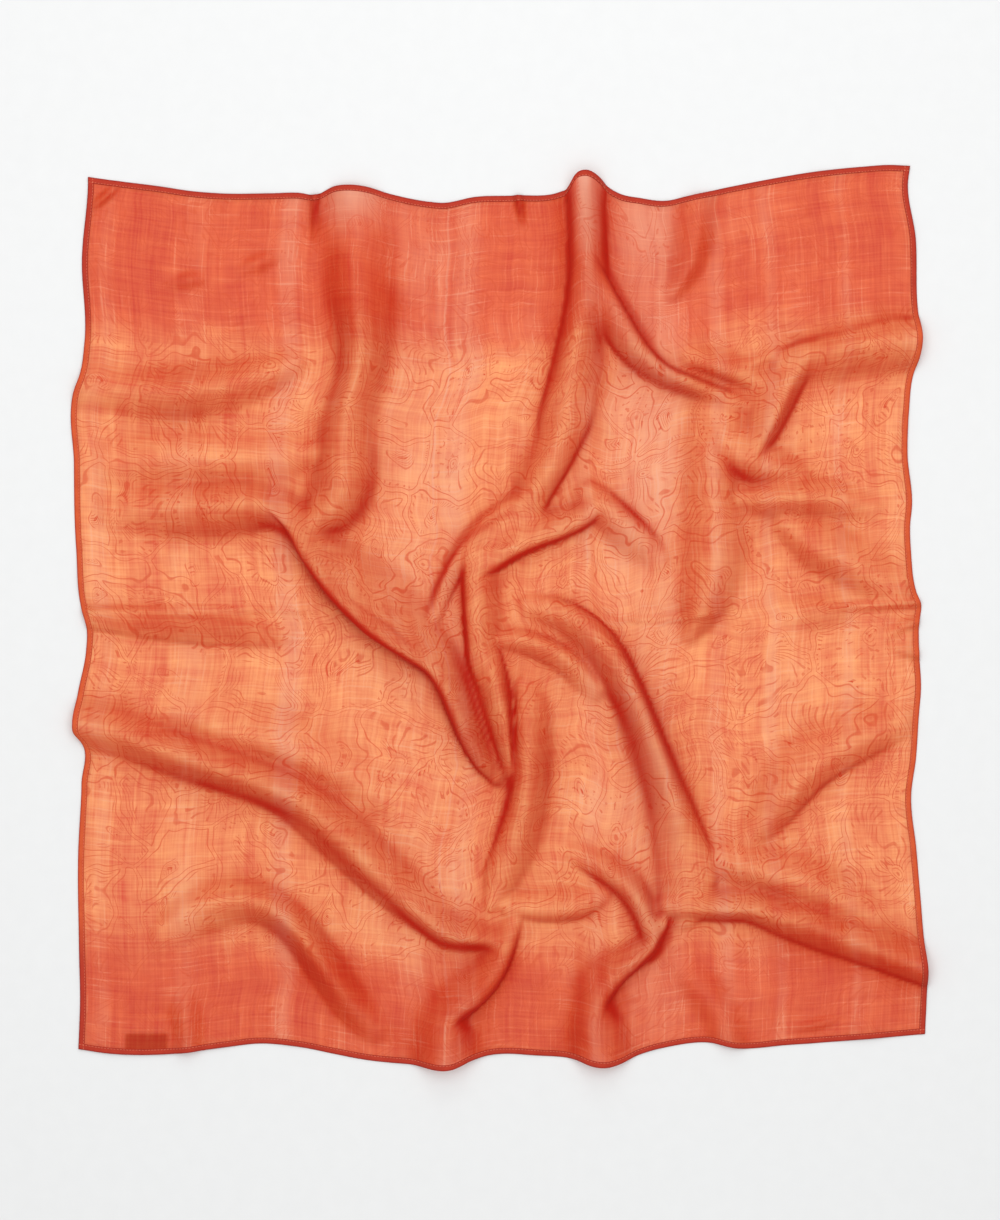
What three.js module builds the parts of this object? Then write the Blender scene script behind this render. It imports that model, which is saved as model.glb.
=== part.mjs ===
// A square scarf of sheer printed cloth, laid flat on a surface and ruffled by hand into soft
// folds. Four narrow double-turned hems run round the panel, and a small plain label lies under
// one corner. Millimetres, +Z up; the origin is on the surface, under the middle of the scarf.
import * as THREE from 'three';

// ---- Driving dimensions ----
const CLOTH_WALL = 1.5;       // the panel's wall
const HEM_WALL = 2.1;         // a hem is the cloth turned twice
const HEM_WIDTH = 6;
const SEAM_GAP = 0.3;         // between neighbouring sewn pieces
const LAID_WIDTH = 840;       // mean size as it lies, which turns the hem's width into a share
const LAID_LENGTH = 874;
const CELLS_ACROSS = 42;      // the panel's facets
const CELLS_ALONG = 44;
const LEAST_REACH = 20;       // the narrowest flank that the facets can carry
const FLOOR_CUT = 0.8;        // what rises less than this lies flat on the surface
const SWATCH = { left: -375, right: -334, bottom: -434, top: -417, wall: 0.8, reach: 30 };

// ---- Outline as it lies: [place along the side, the side's own offset] ----
const TOP_SIDE = [
  [-413, 440], [-391, 437], [-338, 430], [-311, 426], [-281, 423.5], [-231, 423.5],
  [-201, 424], [-186, 422], [-166, 430.5], [-151, 431.5], [-136, 430], [-111, 423],
  [-71, 415], [-59, 414], [-26, 420], [14, 421.5], [59, 425], [66, 428], [75, 442],
  [82, 445], [92, 443], [99, 438], [107, 430], [117, 424], [139, 419], [164, 416],
  [184, 420], [229, 430], [259, 436], [299, 443], [359, 450], [389, 452], [409, 451],
];
const BOTTOM_SIDE = [
  [-422.5, -432], [-396, -436], [-332, -437], [-278, -430.5], [-241, -426.5], [-198, -430.5],
  [-166, -437], [-134, -443], [-93, -447], [-48, -451], [-29, -443], [-16, -439],
  [37, -438.5], [75, -442.5], [91, -448], [104, -449.5], [120, -446], [136, -438.5],
  [171, -429], [208, -425.5], [235, -431], [286, -428], [366, -422], [424, -417],
];
const LEFT_SIDE = [
  [-432, -422.5], [-390, -421], [-326, -422], [-246, -423], [-167, -419.5], [-125, -419.5],
  [-115, -427], [-105, -427.5], [-76, -423], [-35, -415], [-13, -414], [13, -420.5],
  [64, -424.5], [90, -426], [153, -427], [227, -426.5], [239, -422], [274, -416.5],
  [360, -419], [433, -413], [440, -413],
];
const RIGHT_SIDE = [
  [-417, 424], [-383, 425.5], [-350, 426.5], [-323, 423], [-275, 419], [-230, 415],
  [-179, 410], [-141, 415], [-102, 417.5], [-70, 420], [-35, 418], [-6, 418], [12, 420],
  [26, 415], [64, 410], [90, 409], [112, 411], [162, 406.5], [207, 408], [243, 412.5],
  [259, 418], [280, 420.5], [306, 417], [379, 414.5], [436, 407], [451, 409],
];

// ---- Folds: crest stations [x, y, rise, reach on the left hand, reach on the right hand]. A
// flank's form is 1 for a round crest with a steep foot, 0 for a soft wave, -1 for a peaked
// crest; the first number is the left hand's. ----
const FOLDS = [
  // from the top hem, left of the middle
  { // left of mouth
    form: [-0.1, 0.1],
    crest: [[-147, 432, 9, 40, 36], [-147, 390, 9, 44, 34], [-146, 350, 14, 46, 32],
      [-143, 310, 18, 46, 30], [-141, 275, 18, 40, 26], [-145, 240, 18, 34, 24],
      [-153, 205, 17, 34, 26], [-158, 170, 17, 40, 30], [-158, 140, 18, 42, 36],
      [-163, 118, 17, 36, 36], [-180, 100, 14, 30, 30], [-202, 88, 7, 22, 16]],
  },
  // the long one that leans over itself, and the one that feeds it
  { // long leaning
    form: [0, 0.9],
    crest: [[-224, 116, 8, 20, 12], [-203, 95, 15, 24, 13], [-186, 67, 20, 34, 14],
      [-160, 32, 22, 52, 14], [-130, 1, 22, 58, 14], [-110, -14, 21, 52, 14],
      [-85, -30, 19, 42, 14], [-64, -44, 17, 30, 14], [-48, -67, 16, 18, 15],
      [-36, -92, 15, 14, 17], [-24, -119, 13, 11, 17], [-12, -143, 9, 9, 15],
      [-3, -158, 4, 7, 11]],
  },
  { // feeder
    form: [0.1, 0],
    crest: [[-385, 106, 3, 24, 26], [-345, 110, 9, 26, 36], [-300, 112, 14, 28, 40],
      [-262, 114, 17, 28, 38], [-238, 112, 16, 24, 32], [-222, 104, 13, 18, 24],
      [-210, 90, 7, 14, 16]],
  },
  { // above feeder
    form: [0, 0.1],
    crest: [[-385, 158, 3, 26, 26], [-330, 160, 7, 30, 28], [-270, 160, 7, 30, 28],
      [-215, 163, 6, 26, 26], [-185, 165, 3, 16, 16]],
  },
  { // left swell
    form: [0.1, -0.1],
    crest: [[-427, 231, 5, 26, 26], [-380, 228, 7, 24, 30], [-330, 226, 12, 26, 34],
      [-280, 231, 12, 26, 32], [-240, 241, 9, 22, 28], [-205, 255, 4, 14, 16]],
  },
  { // pressed strip
    form: [0.4, 0.8],
    crest: [[-420, 2, 4, 10, 12], [-380, 0, 5, 10, 17], [-320, -4, 6, 10, 21],
      [-260, -10, 5, 12, 20], [-215, -18, 2, 10, 12]],
  },
  // the middle, from its mouth in the top hem
  { // middle top
    form: [0.6, 1],
    crest: [[84, 446, 19, 19, 18], [84, 420, 18, 20, 17], [84, 380, 17, 22, 16],
      [85, 345, 16, 22, 17], [85, 320, 12, 18, 18], [84, 300, 6, 14, 14]],
  },
  { // middle
    form: [0, 0.6],
    crest: [[86, 345, 12, 20, 18], [85, 320, 16, 26, 20], [82, 295, 17, 28, 21],
      [77, 270, 17, 32, 21], [71, 240, 16, 36, 22], [66, 215, 14, 36, 24], [60, 190, 10, 30, 24],
      [52, 168, 4, 18, 18]],
  },
  { // middle low
    form: [0.7, 0.1],
    crest: [[70, 222, 8, 26, 20], [64, 198, 13, 26, 24], [56, 172, 14, 22, 28],
      [46, 148, 14, 19, 28], [34, 130, 12, 20, 26], [20, 116, 9, 28, 16], [2, 108, 8, 30, 10],
      [-18, 94, 8, 30, 9], [-36, 75, 8, 24, 9], [-50, 52, 7, 16, 9], [-60, 26, 5, 12, 9],
      [-66, 2, 3, 8, 8]],
  },
  { // middle branch
    form: [0.9, 0.5],
    crest: [[86, 352, 14, 12, 18], [101, 324, 15, 12, 22], [117, 296, 15, 12, 22],
      [132, 271, 15, 12, 18], [147, 254, 14, 11, 14], [165, 242, 12, 9, 12],
      [190, 231, 11, 9, 10], [215, 221, 9, 9, 10], [240, 211, 4, 9, 10]],
  },
  { // middle foot
    form: [0.9, 0.1],
    crest: [[100, 120, 7, 12, 12], [80, 103, 11, 14, 14], [55, 92, 12, 15, 20],
      [30, 82, 12, 15, 28], [8, 70, 11, 14, 30], [-12, 55, 8, 12, 26]],
  },
  { // middle toe
    form: [0.6, 0],
    crest: [[90, 124, 6, 12, 20], [107, 110, 11, 14, 26], [124, 94, 11, 14, 30],
      [142, 76, 8, 14, 28], [158, 60, 3, 10, 20]],
  },
  { // middle drop
    form: [0, 0.9],
    crest: [[-22, 62, 9, 20, 16], [-21, 20, 12, 24, 17], [-20, -15, 13, 24, 16],
      [-18, -40, 10, 20, 16], [-14, -60, 5, 16, 14]],
  },
  { // drop flank
    form: [0.6, -0.1],
    crest: [[-18, -25, 5, 14, 16], [-7, -58, 13, 12, 25], [1, -90, 15, 10, 27],
      [6, -122, 14, 7, 23], [9, -150, 9, 5, 16], [9, -166, 3, 4, 8]],
  },
  // the right hand side
  { // top right crimp
    form: [0, -0.4],
    crest: [[172, 322, 3, 12, 10], [188, 348, 8, 24, 16], [196, 378, 9, 28, 20],
      [198, 418, 6, 28, 20]],
  },
  { // right shelf
    form: [0, 0.6],
    crest: [[190, 260, 4, 16, 10], [212, 252, 8, 22, 10], [236, 243, 8, 22, 10],
      [258, 234, 3, 14, 10]],
  },
  { // right hem bulge
    form: [-0.2, 0.5],
    crest: [[422, 275, 15, 34, 26], [385, 274, 14, 36, 22], [350, 270, 13, 36, 16],
      [320, 266, 13, 36, 13], [298, 262, 12, 30, 12], [280, 254, 6, 18, 10]],
  },
  { // right drop
    form: [0.4, 0],
    crest: [[302, 256, 8, 14, 14], [290, 240, 12, 16, 28], [278, 214, 14, 15, 38],
      [264, 186, 14, 14, 34], [252, 162, 10, 12, 24], [246, 146, 4, 9, 14]],
  },
  { // right cup
    form: [0, 0.2],
    crest: [[226, 208, 5, 30, 16], [223, 186, 10, 38, 20], [232, 167, 12, 40, 22],
      [251, 154, 12, 36, 22], [275, 148, 9, 26, 20], [300, 143, 3, 14, 14]],
  },
  { // right short
    form: [0, -0.3],
    crest: [[240, 118, 4, 16, 14], [270, 117, 10, 24, 22], [300, 120, 11, 26, 24],
      [335, 117, 8, 24, 22], [370, 108, 3, 16, 16]],
  },
  { // right upright
    form: [-0.1, -0.1],
    crest: [[212, 212, 4, 20, 26], [212, 180, 9, 26, 34], [212, 140, 12, 30, 36],
      [213, 100, 13, 34, 38], [213, 65, 14, 38, 38], [207, 30, 13, 34, 34], [198, 2, 10, 24, 24],
      [190, -18, 4, 12, 14]],
  },
  { // right swell
    form: [0, -0.1],
    crest: [[285, 90, 4, 20, 16], [310, 73, 10, 34, 26], [335, 60, 11, 36, 28],
      [362, 45, 9, 34, 26], [392, 28, 4, 24, 20]],
  },
  { // right low swell
    form: [0.2, 0],
    crest: [[288, 4, 2, 14, 20], [312, 8, 6, 16, 28], [338, 8, 3, 14, 20]],
  },
  { // right slant
    form: [0.45, 0],
    crest: [[398, -106, 3, 16, 24], [368, -119, 9, 20, 36], [336, -134, 12, 22, 42],
      [308, -153, 13, 22, 44], [288, -176, 12, 20, 40], [268, -200, 8, 18, 30],
      [250, -218, 3, 14, 18]],
  },
  // the lower left
  { // low left
    form: [0, 0.25],
    crest: [[-424, -106, 12, 30, 22], [-385, -114, 13, 30, 24], [-345, -128, 15, 30, 24],
      [-300, -144, 17, 30, 24], [-250, -160, 18, 30, 24], [-205, -180, 18, 30, 26],
      [-165, -212, 18, 32, 28], [-130, -246, 17, 32, 26], [-100, -276, 15, 32, 22],
      [-75, -301, 13, 30, 16], [-50, -318, 12, 24, 14], [-20, -322, 10, 20, 12],
      [5, -326, 5, 14, 11]],
  },
  { // low left upper
    form: [0, 0.2],
    crest: [[-360, -88, 2, 26, 18], [-315, -98, 5, 40, 22], [-265, -114, 8, 42, 24],
      [-215, -130, 9, 42, 26], [-165, -150, 7, 38, 26], [-120, -180, 3, 26, 20]],
  },
  { // low left hump
    form: [0, 0.2],
    crest: [[-340, -314, 3, 14, 24], [-312, -294, 7, 22, 30], [-282, -283, 10, 24, 28],
      [-250, -282, 13, 24, 24], [-225, -293, 15, 24, 21], [-204, -311, 16, 24, 20],
      [-186, -335, 16, 24, 20], [-168, -361, 14, 24, 20], [-148, -388, 10, 22, 20],
      [-126, -412, 4, 18, 18]],
  },
  { // low left blotch
    form: [-0.3, 0],
    crest: [[-316, -375, 2, 12, 16], [-314, -400, 7, 18, 22], [-312, -432, 7, 18, 22]],
  },
  // the lower middle
  { // low middle
    form: [0, 0.9],
    crest: [[24, -68, 3, 20, 10], [26, -90, 10, 27, 14], [27, -120, 15, 29, 15],
      [26, -155, 17, 29, 15], [22, -190, 16, 29, 16], [14, -222, 13, 30, 18],
      [4, -256, 8, 24, 20], [-6, -285, 3, 12, 12]],
  },
  { // pair upper
    form: [0.4, 0.4],
    crest: [[-4, -22, 3, 8, 10], [20, -22, 7, 10, 14], [48, -31, 9, 10, 16],
      [72, -47, 8, 10, 16], [95, -72, 4, 10, 14]],
  },
  { // long pair
    form: [0.7, 0],
    crest: [[28, 10, 3, 12, 14], [52, 6, 8, 14, 20], [76, -5, 12, 15, 24], [97, -22, 15, 15, 26],
      [113, -42, 17, 14, 28], [128, -68, 19, 12, 30], [142, -100, 20, 12, 30],
      [155, -133, 20, 12, 31], [166, -166, 19, 14, 31], [175, -199, 17, 20, 34],
      [181, -232, 13, 28, 36], [184, -262, 9, 32, 36], [182, -288, 5, 24, 30]],
  },
  { // low shelf
    form: [0, 0.7],
    crest: [[8, -289, 4, 16, 10], [30, -290, 7, 24, 12], [55, -292, 8, 26, 12],
      [80, -288, 7, 24, 12], [100, -278, 3, 14, 10]],
  },
  { // curl
    form: [0.1, 0.6],
    crest: [[76, -236, 3, 12, 12], [102, -247, 9, 14, 16], [125, -263, 12, 15, 16],
      [142, -284, 13, 12, 16], [151, -310, 12, 10, 14], [152, -333, 7, 10, 12]],
  },
  { // bottom left mouth
    form: [0.85, 0.1],
    crest: [[12, -304, 3, 9, 10], [3, -326, 9, 12, 16], [-5, -345, 12, 13, 20],
      [-16, -362, 14, 14, 24], [-32, -378, 15, 15, 26], [-48, -392, 13, 14, 26],
      [-58, -404, 6, 12, 20]],
  },
  { // bottom left hem
    form: [0.1, 0],
    crest: [[-44, -384, 7, 14, 24], [-54, -402, 14, 26, 32], [-56, -424, 17, 38, 36],
      [-55, -453, 18, 44, 38]],
  },
  { // bottom right mouth
    form: [0.8, 0.1],
    crest: [[158, -305, 8, 10, 12], [146, -326, 12, 12, 14], [132, -338, 13, 13, 16],
      [116, -350, 15, 14, 20], [103, -364, 15, 15, 24], [96, -378, 13, 14, 26],
      [92, -392, 6, 12, 20]],
  },
  { // bottom right hem
    form: [0.1, 0],
    crest: [[98, -370, 7, 12, 24], [94, -390, 14, 24, 28], [93, -412, 15, 36, 30],
      [96, -452, 16, 42, 34]],
  },
  { // bottom notch
    form: [0, 0.1],
    crest: [[182, -352, 2, 20, 16], [200, -372, 5, 24, 20], [218, -396, 6, 24, 20],
      [230, -428, 5, 24, 20]],
  },
  // the lower right
  { // low right
    form: [0, 0.45],
    crest: [[166, -288, 8, 18, 14], [190, -289, 11, 22, 14], [220, -290, 13, 22, 14],
      [250, -290, 14, 22, 16], [285, -298, 15, 24, 22], [325, -311, 15, 24, 24],
      [365, -326, 15, 26, 22], [400, -340, 15, 26, 20], [426, -350, 15, 26, 19]],
  },
  { // low right upper
    form: [0, 0.2],
    crest: [[218, -242, 3, 22, 16], [245, -250, 8, 28, 20], [280, -258, 10, 30, 24],
      [315, -270, 10, 32, 26], [345, -285, 7, 30, 24], [372, -301, 3, 20, 16]],
  },
];

const mix = (a, b, share) => a + (b - a) * share;
const clamp = (value, low, high) => Math.min(high, Math.max(low, value));

// A smooth curve through stations [place, value], as value at any place.
function valueAt(stations, place) {
  const last = stations.length - 1;
  const slope = (i) => {
    const [before, after] = [stations[Math.max(0, i - 1)], stations[Math.min(last, i + 1)]];
    return (after[1] - before[1]) / (after[0] - before[0]);
  };
  let i = 0;
  while (i < last - 1 && place > stations[i + 1][0]) i += 1;
  const span = stations[i + 1][0] - stations[i][0];
  const t = clamp((place - stations[i][0]) / span, 0, 1);
  const bend = t * (1 - t) * span * ((1 - t) * slope(i) - t * slope(i + 1));
  const ease = t * t * (3 - 2 * t);
  return mix(stations[i][1], stations[i + 1][1], ease) + bend;
}

const ends = (stations) => [stations[0], stations[stations.length - 1]];

// A point of one side at a share of its length: across for top and bottom, along for the others.
function acrossSide(stations, share) {
  const [from, to] = ends(stations);
  const x = mix(from[0], to[0], share);
  return [x, valueAt(stations, x)];
}

function alongSide(stations, share) {
  const [from, to] = ends(stations);
  const y = mix(from[0], to[0], share);
  return [valueAt(stations, y), y];
}

// Where the cut's point (across, along), both shares from 0 to 1, lies in plan: the four sides
// are blended into one patch.
function planPoint(across, along) {
  const bottom = acrossSide(BOTTOM_SIDE, across);
  const top = acrossSide(TOP_SIDE, across);
  const left = alongSide(LEFT_SIDE, along);
  const right = alongSide(RIGHT_SIDE, along);
  return [0, 1].map((k) => {
    const corners = mix(
      mix(acrossSide(BOTTOM_SIDE, 0)[k], acrossSide(BOTTOM_SIDE, 1)[k], across),
      mix(acrossSide(TOP_SIDE, 0)[k], acrossSide(TOP_SIDE, 1)[k], across),
      along,
    );
    return mix(bottom[k], top[k], along) + mix(left[k], right[k], across) - corners;
  });
}

// A flank's height from 1 at the crest, t = 0, to 0 at its foot, t = 1.
function flank(t, form) {
  const wave = 0.5 * (1 + Math.cos(Math.PI * t));
  const dome = (1 - t ** 3) ** 0.55;
  const tent = (1 - t) ** 1.6;
  return form > 0 ? mix(wave, dome, form) : mix(wave, tent, -form);
}

// The rise that one fold gives at (x, y).
function foldRise({ form, crest }, x, y) {
  let best = { distance: Infinity };
  for (let i = 0; i < crest.length - 1; i += 1) {
    const [a, b] = [crest[i], crest[i + 1]];
    const [dx, dy] = [b[0] - a[0], b[1] - a[1]];
    const t = clamp(((x - a[0]) * dx + (y - a[1]) * dy) / (dx * dx + dy * dy), 0, 1);
    const [ox, oy] = [x - a[0] - dx * t, y - a[1] - dy * t];
    const distance = Math.hypot(ox, oy);
    if (distance < best.distance) best = { distance, t, a, b, onLeft: dx * oy - dy * ox > 0 };
  }
  const column = best.onLeft ? 3 : 4;
  const reach = Math.max(LEAST_REACH, mix(best.a[column], best.b[column], best.t));
  const rise = mix(best.a[2], best.b[2], best.t);
  return rise * flank(clamp(best.distance / reach, 0, 1), best.onLeft ? form[0] : form[1]);
}

// The label lifts the cloth over it by a little more than its own wall.
function labelRise(x, y) {
  const beyond = Math.max(SWATCH.left - x, x - SWATCH.right, SWATCH.bottom - y, y - SWATCH.top);
  const share = clamp(2 - beyond / SWATCH.reach, 0, 1);
  return (SWATCH.wall + 2 * SEAM_GAP) * share;
}

// The height of the cloth's underside: overlapping folds blend, and the lows lie on the surface.
function lie(x, y) {
  const cubes = FOLDS.reduce((sum, fold) => sum + foldRise(fold, x, y) ** 3, 0);
  return Math.max(0, Math.cbrt(cubes) - FLOOR_CUT) + labelRise(x, y);
}

function underPoint(across, along) {
  const [x, y] = planPoint(across, along);
  return new THREE.Vector3(x, y, lie(x, y));
}

// A closed wall over the part of the cut that the lines across and along mark out: the
// underside is the laid cloth, and the upper side stands off it by the wall.
function clothWall(linesAcross, linesAlong, wall) {
  const under = linesAlong.flatMap((v) => linesAcross.map((u) => underPoint(u, v)));
  const cellsAcross = linesAcross.length - 1;
  const cellsAlong = linesAlong.length - 1;
  const row = cellsAcross + 1;
  const layer = under.length;
  const positions = [...under, ...under.map((p) => p.clone().setZ(p.z + wall))];
  const faces = [];
  // A facet pair is split along its flatter diagonal, which keeps steep flanks smooth.
  const quad = (a, b, c, d) => {
    const drop = (from, to) => Math.abs(positions[from].z - positions[to].z);
    const split = drop(a, c) > drop(b, d) ? [b, c, d, b, d, a] : [a, b, c, a, c, d];
    faces.push(...split);
  };
  for (let j = 0; j < cellsAlong; j += 1) {
    for (let i = 0; i < cellsAcross; i += 1) {
      const a = j * row + i;
      quad(a, a + row, a + row + 1, a + 1);
      quad(a + layer, a + layer + 1, a + layer + row + 1, a + layer + row);
    }
  }
  for (let i = 0; i < cellsAcross; i += 1) {
    const far = cellsAlong * row + i;
    quad(i, i + 1, i + 1 + layer, i + layer);
    quad(far + 1, far, far + layer, far + 1 + layer);
  }
  for (let j = 0; j < cellsAlong; j += 1) {
    const near = j * row;
    const far = near + cellsAcross;
    quad(near + row, near, near + layer, near + row + layer);
    quad(far, far + row, far + row + layer, far + layer);
  }
  const geometry = new THREE.BufferGeometry();
  geometry.setAttribute('position',
    new THREE.Float32BufferAttribute(positions.flatMap((p) => [p.x, p.y, p.z]), 3));
  geometry.setIndex(faces);
  geometry.computeVertexNormals();
  return geometry;
}

function piece(name, geometry, color) {
  const material = new THREE.MeshStandardMaterial({ color, roughness: 0.75, metalness: 0 });
  const mesh = new THREE.Mesh(geometry, material);
  mesh.name = name;
  return mesh;
}

const scarf = new THREE.Group();
const ORANGE = 0xf0855c;
const HEM_RED = 0xc8502f;
const LABEL_RED = 0x9c3a28;

// ---- Panel and hems: the top and bottom hems run the whole width, the others fit between.
// Neighbours share their facet lines, so the seam's gap stays even. ----
const hemAcross = HEM_WIDTH / LAID_WIDTH;
const hemAlong = HEM_WIDTH / LAID_LENGTH;

// Evenly spaced lines that stop short of both ends of the cut by a hem and its gap.
function innerLines(cells, laidSize) {
  const inset = (HEM_WIDTH + SEAM_GAP) / laidSize;
  return Array.from({ length: cells + 1 }, (_, i) => mix(inset, 1 - inset, i / cells));
}

const linesAcross = innerLines(CELLS_ACROSS, LAID_WIDTH);
const linesAlong = innerLines(CELLS_ALONG, LAID_LENGTH);
const wholeWidth = [0, ...linesAcross, 1];

scarf.add(piece('panel', clothWall(linesAcross, linesAlong, CLOTH_WALL), ORANGE));
scarf.add(piece('hem_top', clothWall(wholeWidth, [1 - hemAlong, 1], HEM_WALL), HEM_RED));
scarf.add(piece('hem_bottom', clothWall(wholeWidth, [0, hemAlong], HEM_WALL), HEM_RED));
scarf.add(piece('hem_left', clothWall([0, hemAcross], linesAlong, HEM_WALL), HEM_RED));
scarf.add(piece('hem_right', clothWall([1 - hemAcross, 1], linesAlong, HEM_WALL), HEM_RED));

// ---- Label: a plain folded tape, flat on the surface under the cloth ----
const swatchWidth = SWATCH.right - SWATCH.left;
const swatchDepth = SWATCH.top - SWATCH.bottom;
const label = piece('label',
  new THREE.BoxGeometry(swatchWidth, swatchDepth, SWATCH.wall), LABEL_RED);
label.position.set((SWATCH.left + SWATCH.right) / 2, (SWATCH.bottom + SWATCH.top) / 2,
  SWATCH.wall / 2);
scarf.add(label);

export default scarf;
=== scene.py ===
"""A square scarf of sheer printed cloth, laid flat and ruffled by hand into soft folds.

Laid out as an add-on and run as a script. Lengths are in millimetres where a name or a comment
says mm, and in metres where they reach Blender.
"""
import math

import bmesh
import bpy
import numpy as np
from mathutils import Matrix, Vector


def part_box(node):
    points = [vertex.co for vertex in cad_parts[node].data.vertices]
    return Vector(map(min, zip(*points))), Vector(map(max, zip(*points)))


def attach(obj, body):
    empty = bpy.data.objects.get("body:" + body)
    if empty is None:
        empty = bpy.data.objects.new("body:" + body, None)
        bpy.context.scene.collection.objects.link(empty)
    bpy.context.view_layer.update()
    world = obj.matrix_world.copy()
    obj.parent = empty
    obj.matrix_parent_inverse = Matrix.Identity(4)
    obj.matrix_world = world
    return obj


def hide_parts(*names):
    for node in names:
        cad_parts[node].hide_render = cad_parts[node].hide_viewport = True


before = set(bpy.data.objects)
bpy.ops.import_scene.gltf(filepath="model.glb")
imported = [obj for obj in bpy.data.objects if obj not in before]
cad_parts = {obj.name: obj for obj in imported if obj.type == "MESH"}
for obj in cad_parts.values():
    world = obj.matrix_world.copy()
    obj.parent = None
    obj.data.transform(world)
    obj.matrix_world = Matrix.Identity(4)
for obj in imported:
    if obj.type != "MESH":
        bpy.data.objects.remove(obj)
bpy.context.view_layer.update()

bl_info = {
    "name": "Square scarf",
    "version": (1, 0, 0),
    "blender": (4, 5, 0),
    "location": "3D View > Sidebar > Scarf",
    "description": "Lays out a sheer printed square scarf with stitched hems and a label",
    "category": "Object",
}

MM = 0.001
CUT_SIDE = 914.0              # mm; the square cut, hems included
CELLS_ACROSS = 304            # the cloth's fine mesh
CELLS_ALONG = 320
LAID_WIDTH = 840              # mean size as it lies, mm
LAID_LENGTH = 874

# ---- Outline as it lies, mm: (place along the side, the side's own offset) ----
TOP_SIDE = [
    (-413, 440), (-391, 437), (-338, 430), (-311, 426), (-281, 423.5), (-231, 423.5),
    (-201, 424), (-186, 422), (-166, 430.5), (-151, 431.5), (-136, 430), (-111, 423),
    (-71, 415), (-59, 414), (-26, 420), (14, 421.5), (59, 425), (66, 428), (75, 442),
    (82, 445), (92, 443), (99, 438), (107, 430), (117, 424), (139, 419), (164, 416),
    (184, 420), (229, 430), (259, 436), (299, 443), (359, 450), (389, 452), (409, 451),
]
BOTTOM_SIDE = [
    (-422.5, -432), (-396, -436), (-332, -437), (-278, -430.5), (-241, -426.5), (-198, -430.5),
    (-166, -437), (-134, -443), (-93, -447), (-48, -451), (-29, -443), (-16, -439),
    (37, -438.5), (75, -442.5), (91, -448), (104, -449.5), (120, -446), (136, -438.5),
    (171, -429), (208, -425.5), (235, -431), (286, -428), (366, -422), (424, -417),
]
LEFT_SIDE = [
    (-432, -422.5), (-390, -421), (-326, -422), (-246, -423), (-167, -419.5), (-125, -419.5),
    (-115, -427), (-105, -427.5), (-76, -423), (-35, -415), (-13, -414), (13, -420.5),
    (64, -424.5), (90, -426), (153, -427), (227, -426.5), (239, -422), (274, -416.5),
    (360, -419), (433, -413), (440, -413),
]
RIGHT_SIDE = [
    (-417, 424), (-383, 425.5), (-350, 426.5), (-323, 423), (-275, 419), (-230, 415),
    (-179, 410), (-141, 415), (-102, 417.5), (-70, 420), (-35, 418), (-6, 418), (12, 420),
    (26, 415), (64, 410), (90, 409), (112, 411), (162, 406.5), (207, 408), (243, 412.5),
    (259, 418), (280, 420.5), (306, 417), (379, 414.5), (436, 407), (451, 409),
]

def fold(*crest, form=(0.0, 0.0), lean=0):
    """A fold by its crest stations in mm: (x, y, rise, reach on the left hand, on the right).

    A station of four numbers reaches equally far on both hands. The form is the left and the
    right flank's: 1 for a round crest with a steep foot, 0 for a soft wave, and -1 for a
    peaked crest. The lean is how far the crest hangs over to the right hand, mm.
    """
    rows = [row if len(row) == 5 else row + row[3:] for row in crest]
    return {"crest": rows, "form": form, "lean": lean}


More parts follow.
